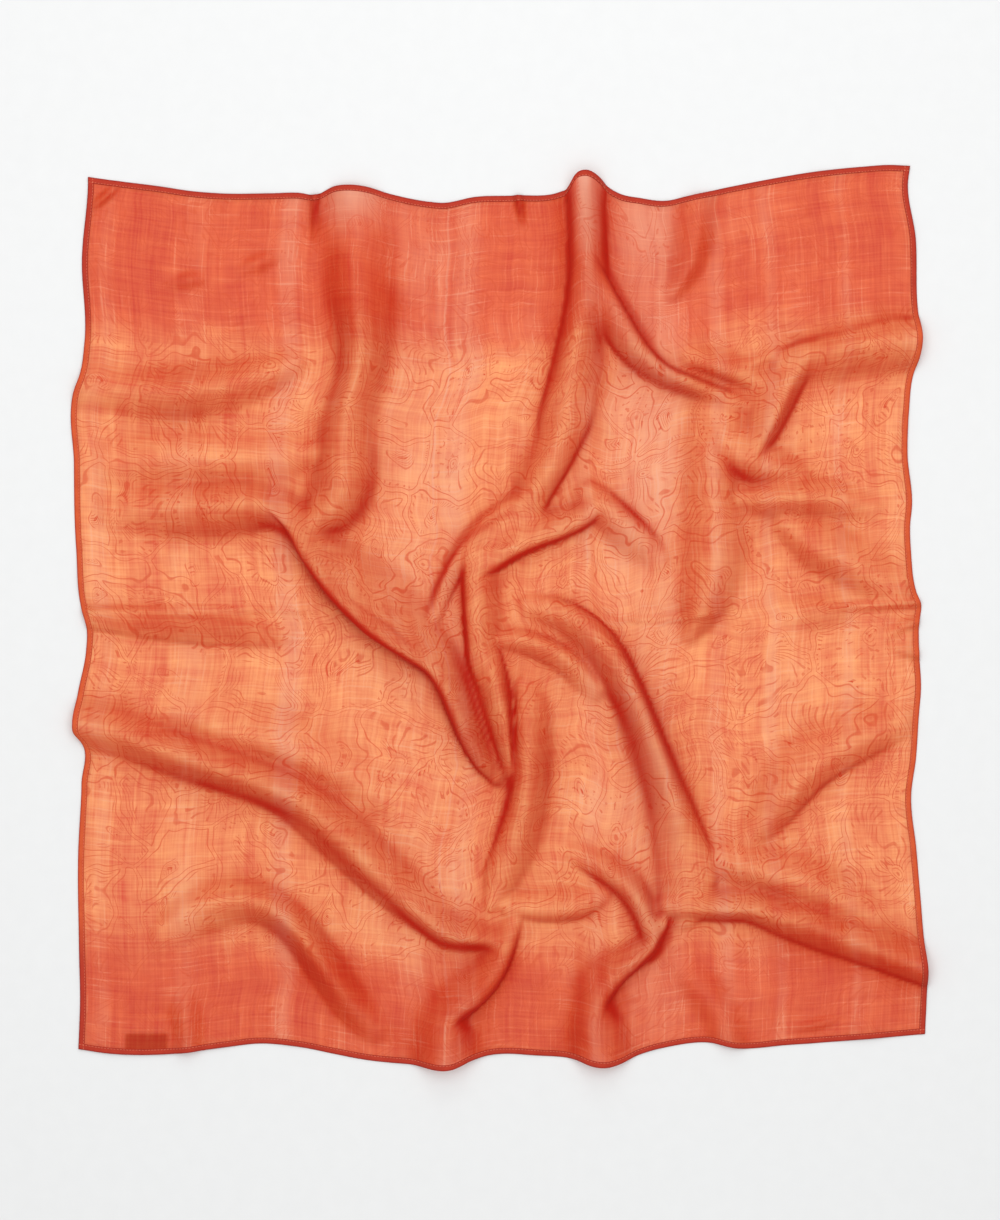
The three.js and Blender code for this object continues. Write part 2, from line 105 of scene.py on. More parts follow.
FOLDS = dict(
    # from the top hem, left of the middle
    left_of_mouth=fold((-147, 432, 9, 40, 36), (-147, 390, 9, 44, 34), (-146, 350, 14, 46, 32),
        (-143, 310, 18, 46, 30), (-141, 275, 18, 40, 26), (-145, 240, 18, 34, 24),
        (-153, 205, 17, 34, 26), (-158, 170, 17, 40, 30), (-158, 140, 18, 42, 36), (-163, 118, 17, 36),
        (-180, 100, 14, 30), (-202, 88, 7, 22, 16), form=(-0.1, 0.1)),
    # the long one that leans over itself, and the one that feeds it
    long_leaning=fold((-224, 116, 8, 20, 12), (-203, 95, 15, 24, 13), (-186, 67, 20, 34, 14),
        (-160, 32, 22, 52, 14), (-130, 1, 22, 58, 14), (-110, -14, 21, 52, 14), (-85, -30, 19, 42, 14),
        (-64, -44, 17, 30, 14), (-48, -67, 16, 18, 15), (-36, -92, 15, 14, 17), (-24, -119, 13, 11, 17),
        (-12, -143, 9, 9, 15), (-3, -158, 4, 7, 11), form=(0, 0.9), lean=10),
    feeder=fold((-385, 106, 3, 24, 26), (-345, 110, 9, 26, 36), (-300, 112, 14, 28, 40),
        (-262, 114, 17, 28, 38), (-238, 112, 16, 24, 32), (-222, 104, 13, 18, 24),
        (-210, 90, 7, 14, 16), form=(0.1, 0)),
    above_feeder=fold((-385, 158, 3, 26), (-330, 160, 7, 30, 28), (-270, 160, 7, 30, 28),
        (-215, 163, 6, 26), (-185, 165, 3, 16), form=(0, 0.1)),
    left_swell=fold((-427, 231, 5, 26), (-380, 228, 7, 24, 30), (-330, 226, 12, 26, 34),
        (-280, 231, 12, 26, 32), (-240, 241, 9, 22, 28), (-205, 255, 4, 14, 16), form=(0.1, -0.1)),
    pressed_strip=fold((-420, 2, 4, 10, 12), (-380, 0, 5, 10, 17), (-320, -4, 6, 10, 21),
        (-260, -10, 5, 12, 20), (-215, -18, 2, 10, 12), form=(0.4, 0.8)),
    # the middle, from its mouth in the top hem
    middle_top=fold((84, 446, 19, 19, 18), (84, 420, 18, 20, 17), (84, 380, 17, 22, 16),
        (85, 345, 16, 22, 17), (85, 320, 12, 18), (84, 300, 6, 14), form=(0.6, 1)),
    middle=fold((86, 345, 12, 20, 18), (85, 320, 16, 26, 20), (82, 295, 17, 28, 21),
        (77, 270, 17, 32, 21), (71, 240, 16, 36, 22), (66, 215, 14, 36, 24), (60, 190, 10, 30, 24),
        (52, 168, 4, 18), form=(0, 0.6), lean=2),
    middle_low=fold((70, 222, 8, 26, 20), (64, 198, 13, 26, 24), (56, 172, 14, 22, 28),
        (46, 148, 14, 19, 28), (34, 130, 12, 20, 26), (20, 116, 9, 28, 16), (2, 108, 8, 30, 10),
        (-18, 94, 8, 30, 9), (-36, 75, 8, 24, 9), (-50, 52, 7, 16, 9), (-60, 26, 5, 12, 9),
        (-66, 2, 3, 8), form=(0.7, 0.1), lean=-1),
    middle_branch=fold((86, 352, 14, 12, 18), (101, 324, 15, 12, 22), (117, 296, 15, 12, 22),
        (132, 271, 15, 12, 18), (147, 254, 14, 11, 14), (165, 242, 12, 9, 12), (190, 231, 11, 9, 10),
        (215, 221, 9, 9, 10), (240, 211, 4, 9, 10), form=(0.9, 0.5), lean=-2),
    middle_foot=fold((100, 120, 7, 12), (80, 103, 11, 14), (55, 92, 12, 15, 20), (30, 82, 12, 15, 28),
        (8, 70, 11, 14, 30), (-12, 55, 8, 12, 26), form=(0.9, 0.1), lean=-3),
    middle_toe=fold((90, 124, 6, 12, 20), (107, 110, 11, 14, 26), (124, 94, 11, 14, 30),
        (142, 76, 8, 14, 28), (158, 60, 3, 10, 20), form=(0.6, 0)),
    middle_drop=fold((-22, 62, 9, 20, 16), (-21, 20, 12, 24, 17), (-20, -15, 13, 24, 16),
        (-18, -40, 10, 20, 16), (-14, -60, 5, 16, 14), form=(0, 0.9), lean=3),
    drop_flank=fold((-18, -25, 5, 14, 16), (-7, -58, 13, 12, 25), (1, -90, 15, 10, 27),
        (6, -122, 14, 7, 23), (9, -150, 9, 5, 16), (9, -166, 3, 4, 8), form=(0.6, -0.1)),
    # the right hand side
    top_right_crimp=fold((172, 322, 3, 12, 10), (188, 348, 8, 24, 16), (196, 378, 9, 28, 20),
        (198, 418, 6, 28, 20), form=(0, -0.4)),
    right_shelf=fold((190, 260, 4, 16, 10), (212, 252, 8, 22, 10), (236, 243, 8, 22, 10),
        (258, 234, 3, 14, 10), form=(0, 0.6)),
    right_hem_bulge=fold((422, 275, 15, 34, 26), (385, 274, 14, 36, 22), (350, 270, 13, 36, 16),
        (320, 266, 13, 36, 13), (298, 262, 12, 30, 12), (280, 254, 6, 18, 10), form=(-0.2, 0.5)),
    right_drop=fold((302, 256, 8, 14), (290, 240, 12, 16, 28), (278, 214, 14, 15, 38),
        (264, 186, 14, 14, 34), (252, 162, 10, 12, 24), (246, 146, 4, 9, 14), form=(0.4, 0), lean=-1),
    right_cup=fold((226, 208, 5, 30, 16), (223, 186, 10, 38, 20), (232, 167, 12, 40, 22),
        (251, 154, 12, 36, 22), (275, 148, 9, 26, 20), (300, 143, 3, 14), form=(0, 0.2)),
    right_short=fold((240, 118, 4, 16, 14), (270, 117, 10, 24, 22), (300, 120, 11, 26, 24),
        (335, 117, 8, 24, 22), (370, 108, 3, 16), form=(0, -0.3)),
    right_upright=fold((212, 212, 4, 20, 26), (212, 180, 9, 26, 34), (212, 140, 12, 30, 36),
        (213, 100, 13, 34, 38), (213, 65, 14, 38), (207, 30, 13, 34), (198, 2, 10, 24),
        (190, -18, 4, 12, 14), form=(-0.1, -0.1)),
    right_swell=fold((285, 90, 4, 20, 16), (310, 73, 10, 34, 26), (335, 60, 11, 36, 28),
        (362, 45, 9, 34, 26), (392, 28, 4, 24, 20), form=(0, -0.1)),
    right_low_swell=fold((288, 4, 2, 14, 20), (312, 8, 6, 16, 28), (338, 8, 3, 14, 20), form=(0.2, 0)),
    right_slant=fold((398, -106, 3, 16, 24), (368, -119, 9, 20, 36), (336, -134, 12, 22, 42),
        (308, -153, 13, 22, 44), (288, -176, 12, 20, 40), (268, -200, 8, 18, 30),
        (250, -218, 3, 14, 18), form=(0.45, 0)),
    # the lower left
    low_left=fold((-424, -106, 12, 30, 22), (-385, -114, 13, 30, 24), (-345, -128, 15, 30, 24),
        (-300, -144, 17, 30, 24), (-250, -160, 18, 30, 24), (-205, -180, 18, 30, 26),
        (-165, -212, 18, 32, 28), (-130, -246, 17, 32, 26), (-100, -276, 15, 32, 22),
        (-75, -301, 13, 30, 16), (-50, -318, 12, 24, 14), (-20, -322, 10, 20, 12), (5, -326, 5, 14, 11),
        form=(0, 0.25), lean=1),
    low_left_upper=fold((-360, -88, 2, 26, 18), (-315, -98, 5, 40, 22), (-265, -114, 8, 42, 24),
        (-215, -130, 9, 42, 26), (-165, -150, 7, 38, 26), (-120, -180, 3, 26, 20), form=(0, 0.2)),
    low_left_hump=fold((-340, -314, 3, 14, 24), (-312, -294, 7, 22, 30), (-282, -283, 10, 24, 28),
        (-250, -282, 13, 24), (-225, -293, 15, 24, 21), (-204, -311, 16, 24, 20),
        (-186, -335, 16, 24, 20), (-168, -361, 14, 24, 20), (-148, -388, 10, 22, 20),
        (-126, -412, 4, 18), form=(0, 0.2)),
    low_left_blotch=fold((-316, -375, 2, 12, 16), (-314, -400, 7, 18, 22), (-312, -432, 7, 18, 22),
        form=(-0.3, 0)),
    # the lower middle
    low_middle=fold((24, -68, 3, 20, 10), (26, -90, 10, 27, 14), (27, -120, 15, 29, 15),
        (26, -155, 17, 29, 15), (22, -190, 16, 29, 16), (14, -222, 13, 30, 18), (4, -256, 8, 24, 20),
        (-6, -285, 3, 12), form=(0, 0.7)),
    pair_upper=fold((-4, -22, 3, 8, 10), (20, -22, 7, 10, 14), (48, -31, 9, 10, 16),
        (72, -47, 8, 10, 16), (95, -72, 4, 10, 14), form=(0.4, 0.4)),
    long_pair=fold((28, 10, 3, 12, 14), (52, 6, 8, 14, 20), (76, -5, 12, 15, 24), (97, -22, 15, 15, 26),
        (113, -42, 17, 14, 28), (128, -68, 19, 12, 30), (142, -100, 20, 12, 30),
        (155, -133, 20, 12, 31), (166, -166, 19, 14, 31), (175, -199, 17, 20, 34),
        (181, -232, 13, 28, 36), (184, -262, 9, 32, 36), (182, -288, 5, 24, 30), form=(0.7, 0),
        lean=-1),
    low_shelf=fold((8, -289, 4, 16, 10), (30, -290, 7, 24, 12), (55, -292, 8, 26, 12),
        (80, -288, 7, 24, 12), (100, -278, 3, 14, 10), form=(0, 0.7)),
    curl=fold((76, -236, 3, 12), (102, -247, 9, 14, 16), (125, -263, 12, 15, 16),
        (142, -284, 13, 12, 16), (151, -310, 12, 10, 14), (152, -333, 7, 10, 12), form=(0.1, 0.6),
        lean=2),
    bottom_left_mouth=fold((12, -304, 3, 9, 10), (3, -326, 9, 12, 16), (-5, -345, 12, 13, 20),
        (-16, -362, 14, 14, 24), (-32, -378, 15, 15, 26), (-48, -392, 13, 14, 26),
        (-58, -404, 6, 12, 20), form=(0.85, 0.1), lean=-4),
    bottom_left_hem=fold((-44, -384, 7, 14, 24), (-54, -402, 14, 26, 32), (-56, -424, 17, 38, 36),
        (-55, -453, 18, 44, 38), form=(0.1, 0)),
    bottom_right_mouth=fold((158, -305, 8, 10, 12), (146, -326, 12, 12, 14), (132, -338, 13, 13, 16),
        (116, -350, 15, 14, 20), (103, -364, 15, 15, 24), (96, -378, 13, 14, 26), (92, -392, 6, 12, 20),
        form=(0.8, 0.1), lean=-5),
    bottom_right_hem=fold((98, -370, 7, 12, 24), (94, -390, 14, 24, 28), (93, -412, 15, 36, 30),
        (96, -452, 16, 42, 34), form=(0.1, 0)),
    bottom_notch=fold((182, -352, 2, 20, 16), (200, -372, 5, 24, 20), (218, -396, 6, 24, 20),
        (230, -428, 5, 24, 20), form=(0, 0.1)),
    # the lower right
    low_right=fold((166, -288, 8, 18, 14), (190, -289, 11, 22, 14), (220, -290, 13, 22, 14),
        (250, -290, 14, 22, 16), (285, -298, 15, 24, 22), (325, -311, 15, 24), (365, -326, 15, 26, 22),
        (400, -340, 15, 26, 20), (426, -350, 15, 26, 19), form=(0, 0.45), lean=2),
    low_right_upper=fold((218, -242, 3, 22, 16), (245, -250, 8, 28, 20), (280, -258, 10, 30, 24),
        (315, -270, 10, 32, 26), (345, -285, 7, 30, 24), (372, -301, 3, 20, 16), form=(0, 0.2)),
)
# Small sharp creases, too fine to stand for folds: pinches at the hem and pressed lines.
CREASES = dict(
    pinch_left=fold((-186, 424, 7, 6), (-185, 398, 6, 6), (-185, 370, 1, 5)),
    pinch_middle=fold((17, 422, 6, 6), (20, 405, 5, 6), (22, 390, 1, 5)),
    corner=fold((-406, 412, 2, 6), (-395, 421, 5, 7), (-384, 431, 2, 6)),
    upper_left_nick=fold((-328, 333, 1, 7, 8), (-312, 337, 4, 9, 12), (-295, 339, 1, 7, 8),
        form=(0.3, 0)),
    upper_left_slant=fold((-262, 346, 1, 8, 10), (-242, 355, 4, 9, 14), (-220, 363, 1, 8, 10),
        form=(0.3, 0)),
    pressed_left=fold((-416, 6, 2, 5), (-330, 8, 2, 5), (-230, 7, 1.6, 5), (-172, 8, 0.5, 5)),
    pressed_middle=fold((118, 0, 1, 5), (150, -3, 2.2, 5), (185, -1, 2, 5), (215, 3, 0.6, 5)),
    pressed_right=fold((305, 9, 1, 5), (360, 11, 2.6, 6), (418, 15, 4, 7)),
    pressed_upright=fold((-70, 412, 1.1, 4), (-68, 250, 1.1, 4), (-66, 60, 0.6, 4)),
    right_hem_line=fold((398, 299, 1.5, 7), (340, 284, 2.5, 7), (290, 269, 3, 7), (248, 252, 2, 7)),
    right_hem_nicks=fold((420, -4, 4, 7), (400, -10, 3, 8), (385, -20, 1, 7)),
    right_hem_nick_low=fold((420, -38, 4, 7), (404, -34, 3, 8), (390, -30, 1, 7)),
    low_right_nick=fold((288, -412, 1, 6), (312, -408, 3.5, 7, 8), (336, -402, 1, 6), form=(0.2, 0)),
)
# Strips where the cloth lies double, and thin lines of painted shade where a fold's foot is tucked
# under
# it: as the folds, with how much deeper the colour is painted for the rise.
DOUBLED_AND_FOOT_SHADE = dict(
    leaning_strip=fold((-198, 62, 0.1, 6), (-178, 34, 0.3, 9), (-156, 12, 0.35, 10),
        (-126, -9, 0.35, 10), (-100, -26, 0.3, 9), (-80, -44, 0.1, 6), form=(1, 1)),
    pressed=fold((-405, -2, 0.25, 5, 4), (-370, -5, 0.4, 8), (-320, -9, 0.42, 12, 11),
        (-270, -13, 0.38, 13, 12), (-235, -17, 0.25, 10), (-215, -20, 0.1, 6), form=(1, 1)),
    leaning_foot=fold((-204, 84, 0.1, 5), (-190, 50, 0.4, 5), (-165, 16, 0.5, 5), (-130, -17, 0.5, 5),
        (-98, -40, 0.5, 5), (-68, -63, 0.5, 7), (-48, -97, 0.45, 12), (-30, -126, 0.4, 13),
        (-12, -155, 0.4, 11), (2, -172, 0.2, 6)),
    drop_foot=fold((-32, 78, 0.1, 4), (-39, 50, 0.4, 5), (-38, 15, 0.4, 5), (-35, -25, 0.4, 5),
        (-33, -55, 0.35, 6), (-24, -85, 0.2, 8), (-10, -118, 0.15, 8), (0, -150, 0.15, 6)),
    tongue_foot=fold((9, -90, 0.1, 4), (11, -110, 0.35, 4), (12, -135, 0.4, 4), (9, -165, 0.4, 5),
        (2, -195, 0.35, 5), (-10, -222, 0.1, 8)),
    pair_foot=fold((108, -18, 0.05, 5), (130, -48, 0.25, 5), (146, -82, 0.35, 5), (162, -118, 0.35, 5),
        (180, -156, 0.35, 5), (197, -193, 0.15, 5)),
    pair_edge=fold((104, -64, 0.05, 7), (122, -96, 0.18, 9), (136, -135, 0.2, 9), (147, -180, 0.15, 8),
        (154, -225, 0.2, 6), (157, -262, 0.3, 5), (160, -296, 0.2, 5)),
    hem_pinch_left=fold((-186, 424, 0.7, 4), (-185, 398, 0.6, 4), (-185, 374, 0.1, 4)),
    hem_pinch_middle=fold((17, 422, 0.6, 4), (19, 408, 0.5, 4), (22, 392, 0.1, 4)),
    toe_line=fold((110, 124, 0.1, 5), (127, 108, 0.35, 7), (143, 92, 0.35, 7), (158, 76, 0.1, 5)),
    drop_line=fold((298, 240, 0.1, 9), (290, 218, 0.12, 10), (272, 182, 0.05, 7), (259, 158, 0.25, 5),
        (254, 148, 0.1, 4)),
    cup_line=fold((209, 194, 0.1, 8), (214, 172, 0.3, 9), (224, 154, 0.3, 9), (240, 142, 0.25, 9),
        (258, 135, 0.1, 8)),
    mouth_hook=fold((-127, 165, 0.1, 10), (-132, 130, 0.2, 13), (-142, 105, 0.25, 13),
        (-160, 92, 0.1, 12), (-190, 76, 0.05, 8)),
    feeder_turn=fold((-330, 82, 0.1, 14), (-290, 84, 0.15, 15), (-250, 90, 0.05, 14),
        (-226, 94, 0.05, 12), (-209, 78, 0.3, 7), (-200, 60, 0.1, 6)),
    branch_line=fold((98, 425, 0.1, 5), (102, 390, 0.3, 6), (104, 356, 0.45, 6), (118, 328, 0.4, 5),
        (136, 298, 0.35, 5), (152, 270, 0.3, 5), (168, 252, 0.1, 5)),
    middle_foot_line=fold((96, 96, 0.1, 4), (66, 79, 0.3, 5), (30, 68, 0.35, 5), (0, 53, 0.4, 5),
        (-24, 36, 0.15, 5)),
    middle_long_line=fold((67, 430, 0.1, 5), (67, 370, 0.2, 5), (66, 310, 0.2, 5), (60, 268, 0.2, 5),
        (50, 230, 0.15, 6), (34, 175, 0.1, 6), (14, 112, 0.2, 6), (-6, 97, 0.5, 6), (-26, 84, 0.55, 6),
        (-46, 62, 0.5, 6), (-66, 26, 0.45, 7), (-76, 0, 0.1, 5)),
    low_left_line=fold((-300, -166, 0.1, 7), (-240, -184, 0.2, 7), (-195, -208, 0.2, 7),
        (-150, -250, 0.2, 7), (-120, -276, 0.25, 6), (-92, -302, 0.25, 5), (-60, -326, 0.3, 5),
        (-20, -330, 0.25, 5), (5, -341, 0.15, 5)),
    mouth_left_foot=fold((-26, -388, 0.1, 7), (-38, -404, 0.4, 11), (-32, -424, 0.25, 14),
        (-26, -442, 0.1, 14)),
    mouth_right_foot=fold((116, -370, 0.1, 7), (110, -388, 0.4, 11), (118, -410, 0.2, 14),
        (122, -434, 0.1, 14)),
    mouth_right_inner=fold((76, -330, 0.05, 12), (80, -370, 0.15, 12), (80, -400, 0.25, 11),
        (82, -425, 0.1, 10)),
    curl_line=fold((76, -250, 0.05, 5), (100, -266, 0.3, 6), (124, -290, 0.3, 6), (138, -314, 0.3, 6),
        (145, -330, 0.1, 5)),
    leaning_edge=fold((-190, 66, 0.05, 4), (-168, 38, 0.3, 4), (-142, 12, 0.3, 4), (-112, -8, 0.3, 4),
        (-88, -32, 0.05, 4)),
    right_fold_back=fold((170, -306, 0.3, 5), (164, -322, 0.5, 8), (150, -340, 0.4, 6),
        (138, -350, 0.2, 4), form=(1, 1)),
)
# Stripes of paler (above 0) or deeper dye: place across the cut, half width, strength.
TONE_STRIPES = (
    (24, 8, 0.3), (110, 16, 0.25), (215, 10, 0.5), (372, 42, 0.2), (415, 12, 0.3),
    (560, 9, 0.3), (628, 44, 0.3), (705, 7, 0.4), (762, 6, 0.4), (840, 5, 0.3),
    (66, 26, -0.35), (165, 28, -0.25), (250, 14, -0.15), (452, 26, -0.25),
    (500, 14, -0.2), (676, 14, -0.2), (812, 16, -0.25), (875, 16, -0.3),
)
# Patches of the same, as it lies: centre x, y, half width, half height, strength.
# The strong pale patches at the fold mouths by the top hem are painted light, and the deeper ones by
# the pressed strip at the left are painted shade; the rest is uneven tone.
TONE_LIGHT_AND_SHADE_PATCHES = (
    (-152, 425, 34, 34, 1.5), (84, 428, 16, 60, 1.4), (150, 390, 34, 50, 0.8),
    (150, 180, 40, 110, 0.5), (-20, 200, 110, 140, 0.2), (120, -200, 60, 120, 0.15),
    (-240, 60, 60, 160, 0.1), (320, 190, 80, 50, 0.15), (-350, 380, 60, 60, -0.2),
    (330, 390, 70, 50, -0.15), (-330, -10, 60, 14, -0.5), (-290, 28, 60, 16, -0.35),
    (-200, -380, 120, 50, -0.1), (200, -400, 90, 40, -0.1),
)
# Slow swells between the folds: size in mm, waves across and along in radians a mm, phase.
SWELLS = (
    (1.0, 0.031, 0.052, 0.4), (0.8, -0.058, 0.027, 2.1), (0.7, 0.083, 0.035, 4.0),
    (0.5, 0.021, -0.104, 1.2), (0.45, -0.121, 0.066, 5.1), (0.3, 0.16, 0.14, 0.9),
)
SWELL_MEAN = 1.2              # mm
FLOOR_CUT = 0.9               # mm; what rises less than this lies flat on the surface
FLOOR_SOFT = 1.0              # mm; how softly the cloth comes down to the surface
CLOTH_HALF = 0.35             # mm; the cloth's own middle stands this far off the surface
FLANK_BLEND = 4.0             # mm; over this width a crest's two flanks run together
# The label under the cloth, mm: its outline, its wall, the gap over it, and how far out the
# cloth takes to come down from it, after a rim (a share of that) at full height.
SWATCH = dict(left=-375, right=-334, bottom=-434, top=-417, wall=0.8, gap=0.5, reach=16, rim=0.4)
# Painted shade in valleys: cells over which the height is averaged, most mm that count, strength.
VALLEY_SHADE = ((3, 4, 0.07), (9, 5, 0.05))


def lerp(a, b, share):
    return a + (b - a) * share


def value_at(stations, place):
    """A smooth curve through (place, value) stations, as values at an array of places."""
    spots, values = np.array(stations, float).T
    slopes = np.gradient(values, spots)
    i = np.clip(np.searchsorted(spots, place, side="right") - 1, 0, len(spots) - 2)
    span = spots[i + 1] - spots[i]
    t = np.clip((place - spots[i]) / span, 0, 1)
    bend = t * (1 - t) * span * ((1 - t) * slopes[i] - t * slopes[i + 1])
    return lerp(values[i], values[i + 1], t * t * (3 - 2 * t)) + bend


def side_point(stations, share, upright=False):
    place = lerp(stations[0][0], stations[-1][0], share)
    value = value_at(stations, place)
    return np.stack((value, place) if upright else (place, value), axis=-1)


def plan_point(across, along):
    """Where a point of the cut lies in plan: the four sides blended into one patch."""
    zero, one = np.zeros_like(across), np.ones_like(across)
    u, v = across[..., None], along[..., None]
    bottom, bottom_left, bottom_right = (side_point(BOTTOM_SIDE, a) for a in (across, zero, one))
    top, top_left, top_right = (side_point(TOP_SIDE, a) for a in (across, zero, one))
    left = side_point(LEFT_SIDE, along, True)
    right = side_point(RIGHT_SIDE, along, True)
    corners = lerp(lerp(bottom_left, bottom_right, u), lerp(top_left, top_right, u), v)
    return lerp(bottom, top, v) + lerp(left, right, u) - corners


def smooth_crest(stations, steps=5):
    """The crest's stations with a curve's points put between them."""
    rows = np.array(stations, float)
    out = []
    for i in range(len(rows) - 1):
        before, after = rows[max(0, i - 1)], rows[min(len(rows) - 1, i + 2)]
        a, b = rows[i], rows[i + 1]
        for t in np.arange(steps) / steps:
            out.append(0.5 * (2 * a + (b - before) * t + (2 * before - 5 * a + 4 * b - after)
                              * t * t + (3 * a - before - 3 * b + after) * t ** 3))
    out.append(rows[-1])
    return np.array(out)


def flank(t, form):
    """A flank's height from 1 at the crest, t = 0, to 0 at its foot, t = 1."""
    t = np.clip(t, 0, 1)
    dome_round, dome_foot, tent_peak = 3, 0.55, 1.6
    wave = 0.5 * (1 + np.cos(math.pi * t))
    dome = (1 - t ** dome_round) ** dome_foot
    tent = (1 - t) ** tent_peak
    return np.where(form > 0, lerp(wave, dome, form), lerp(wave, tent, -form))


def fold_at(fold, xy):
    """A fold's rise at each point, and the sideways push of its leaning crest."""
    crest = smooth_crest(fold["crest"])
    reach = crest[:, 3:5].max()
    low, high = crest[:, :2].min(axis=0) - reach, crest[:, :2].max(axis=0) + reach
    near = np.all((xy > low) & (xy < high), axis=1)
    points = xy[near]
    best = np.full(len(points), np.inf)
    row = np.zeros((len(points), 5))
    away = np.zeros((len(points), 2))
    side = np.zeros(len(points))
    for a, b in zip(crest[:-1], crest[1:]):
        d = b[:2] - a[:2]
        t = np.clip(((points - a[:2]) @ d) / (d @ d), 0, 1)
        off = points - a[:2] - t[:, None] * d
        distance = np.hypot(off[:, 0], off[:, 1])
        closer = distance < best
        best[closer] = distance[closer]
        row[closer] = a + t[closer, None] * (b - a)
        side[closer] = ((d[0] * off[:, 1] - d[1] * off[:, 0]) / np.hypot(*d))[closer]
        away[closer] = np.array((d[1], -d[0])) / np.hypot(*d)
    left_hand = np.clip(0.5 + side / FLANK_BLEND, 0, 1)
    half = lerp(row[:, 4], row[:, 3], left_hand)
    form = lerp(fold["form"][1], fold["form"][0], left_hand)
    share = flank(best / half, form)
    rise = np.zeros(len(xy))
    push = np.zeros((len(xy), 2))
    rise[near] = row[:, 2] * share
    push[near] = away * (fold["lean"] * share * row[:, 2] / crest[:, 2].max())[:, None]
    return rise, push


def ripple(xy):
    """Slow swells up to two millimetres, as soft cloth has between folds; each one wanders."""
    x, y = xy[:, 0], xy[:, 1]
    return 0.5 * sum(
        size * np.sin(a * x + b * y + phase + 1.3 * np.sin(0.017 * x - 0.013 * y + phase))
        for size, a, b, phase in SWELLS)


def past_label(x, y):
    """How far out from the label's outline a point lies, mm, and below 0 inside it."""
    return np.max([SWATCH["left"] - x, x - SWATCH["right"],
                   SWATCH["bottom"] - y, y - SWATCH["top"]], axis=0)


def lay_cloth(across, along):
    """The cloth's middle surface in mm, for arrays of shares of the cut."""
    xy = plan_point(across, along).reshape(-1, 2)
    cubes = np.zeros(len(xy))
    push = np.zeros((len(xy), 2))
    for one in FOLDS.values():
        rise, lean = fold_at(one, xy)
        cubes += rise ** 3
        push += lean
    lift = np.cbrt(cubes) + sum(fold_at(crease, xy)[0] for crease in CREASES.values())
    beyond = past_label(xy[:, 0], xy[:, 1]) / SWATCH["reach"]
    over_label = (SWATCH["wall"] + SWATCH["gap"]) * np.clip(1 + SWATCH["rim"] - beyond, 0, 1)
    height = lift + ripple(xy) + SWELL_MEAN
    height = 0.5 * (height + np.sqrt(height ** 2 + FLOOR_SOFT ** 2)) - FLOOR_CUT
    height = np.maximum(height, over_label) + CLOTH_HALF
    return np.column_stack((xy + push, height)).reshape(across.shape + (3,))


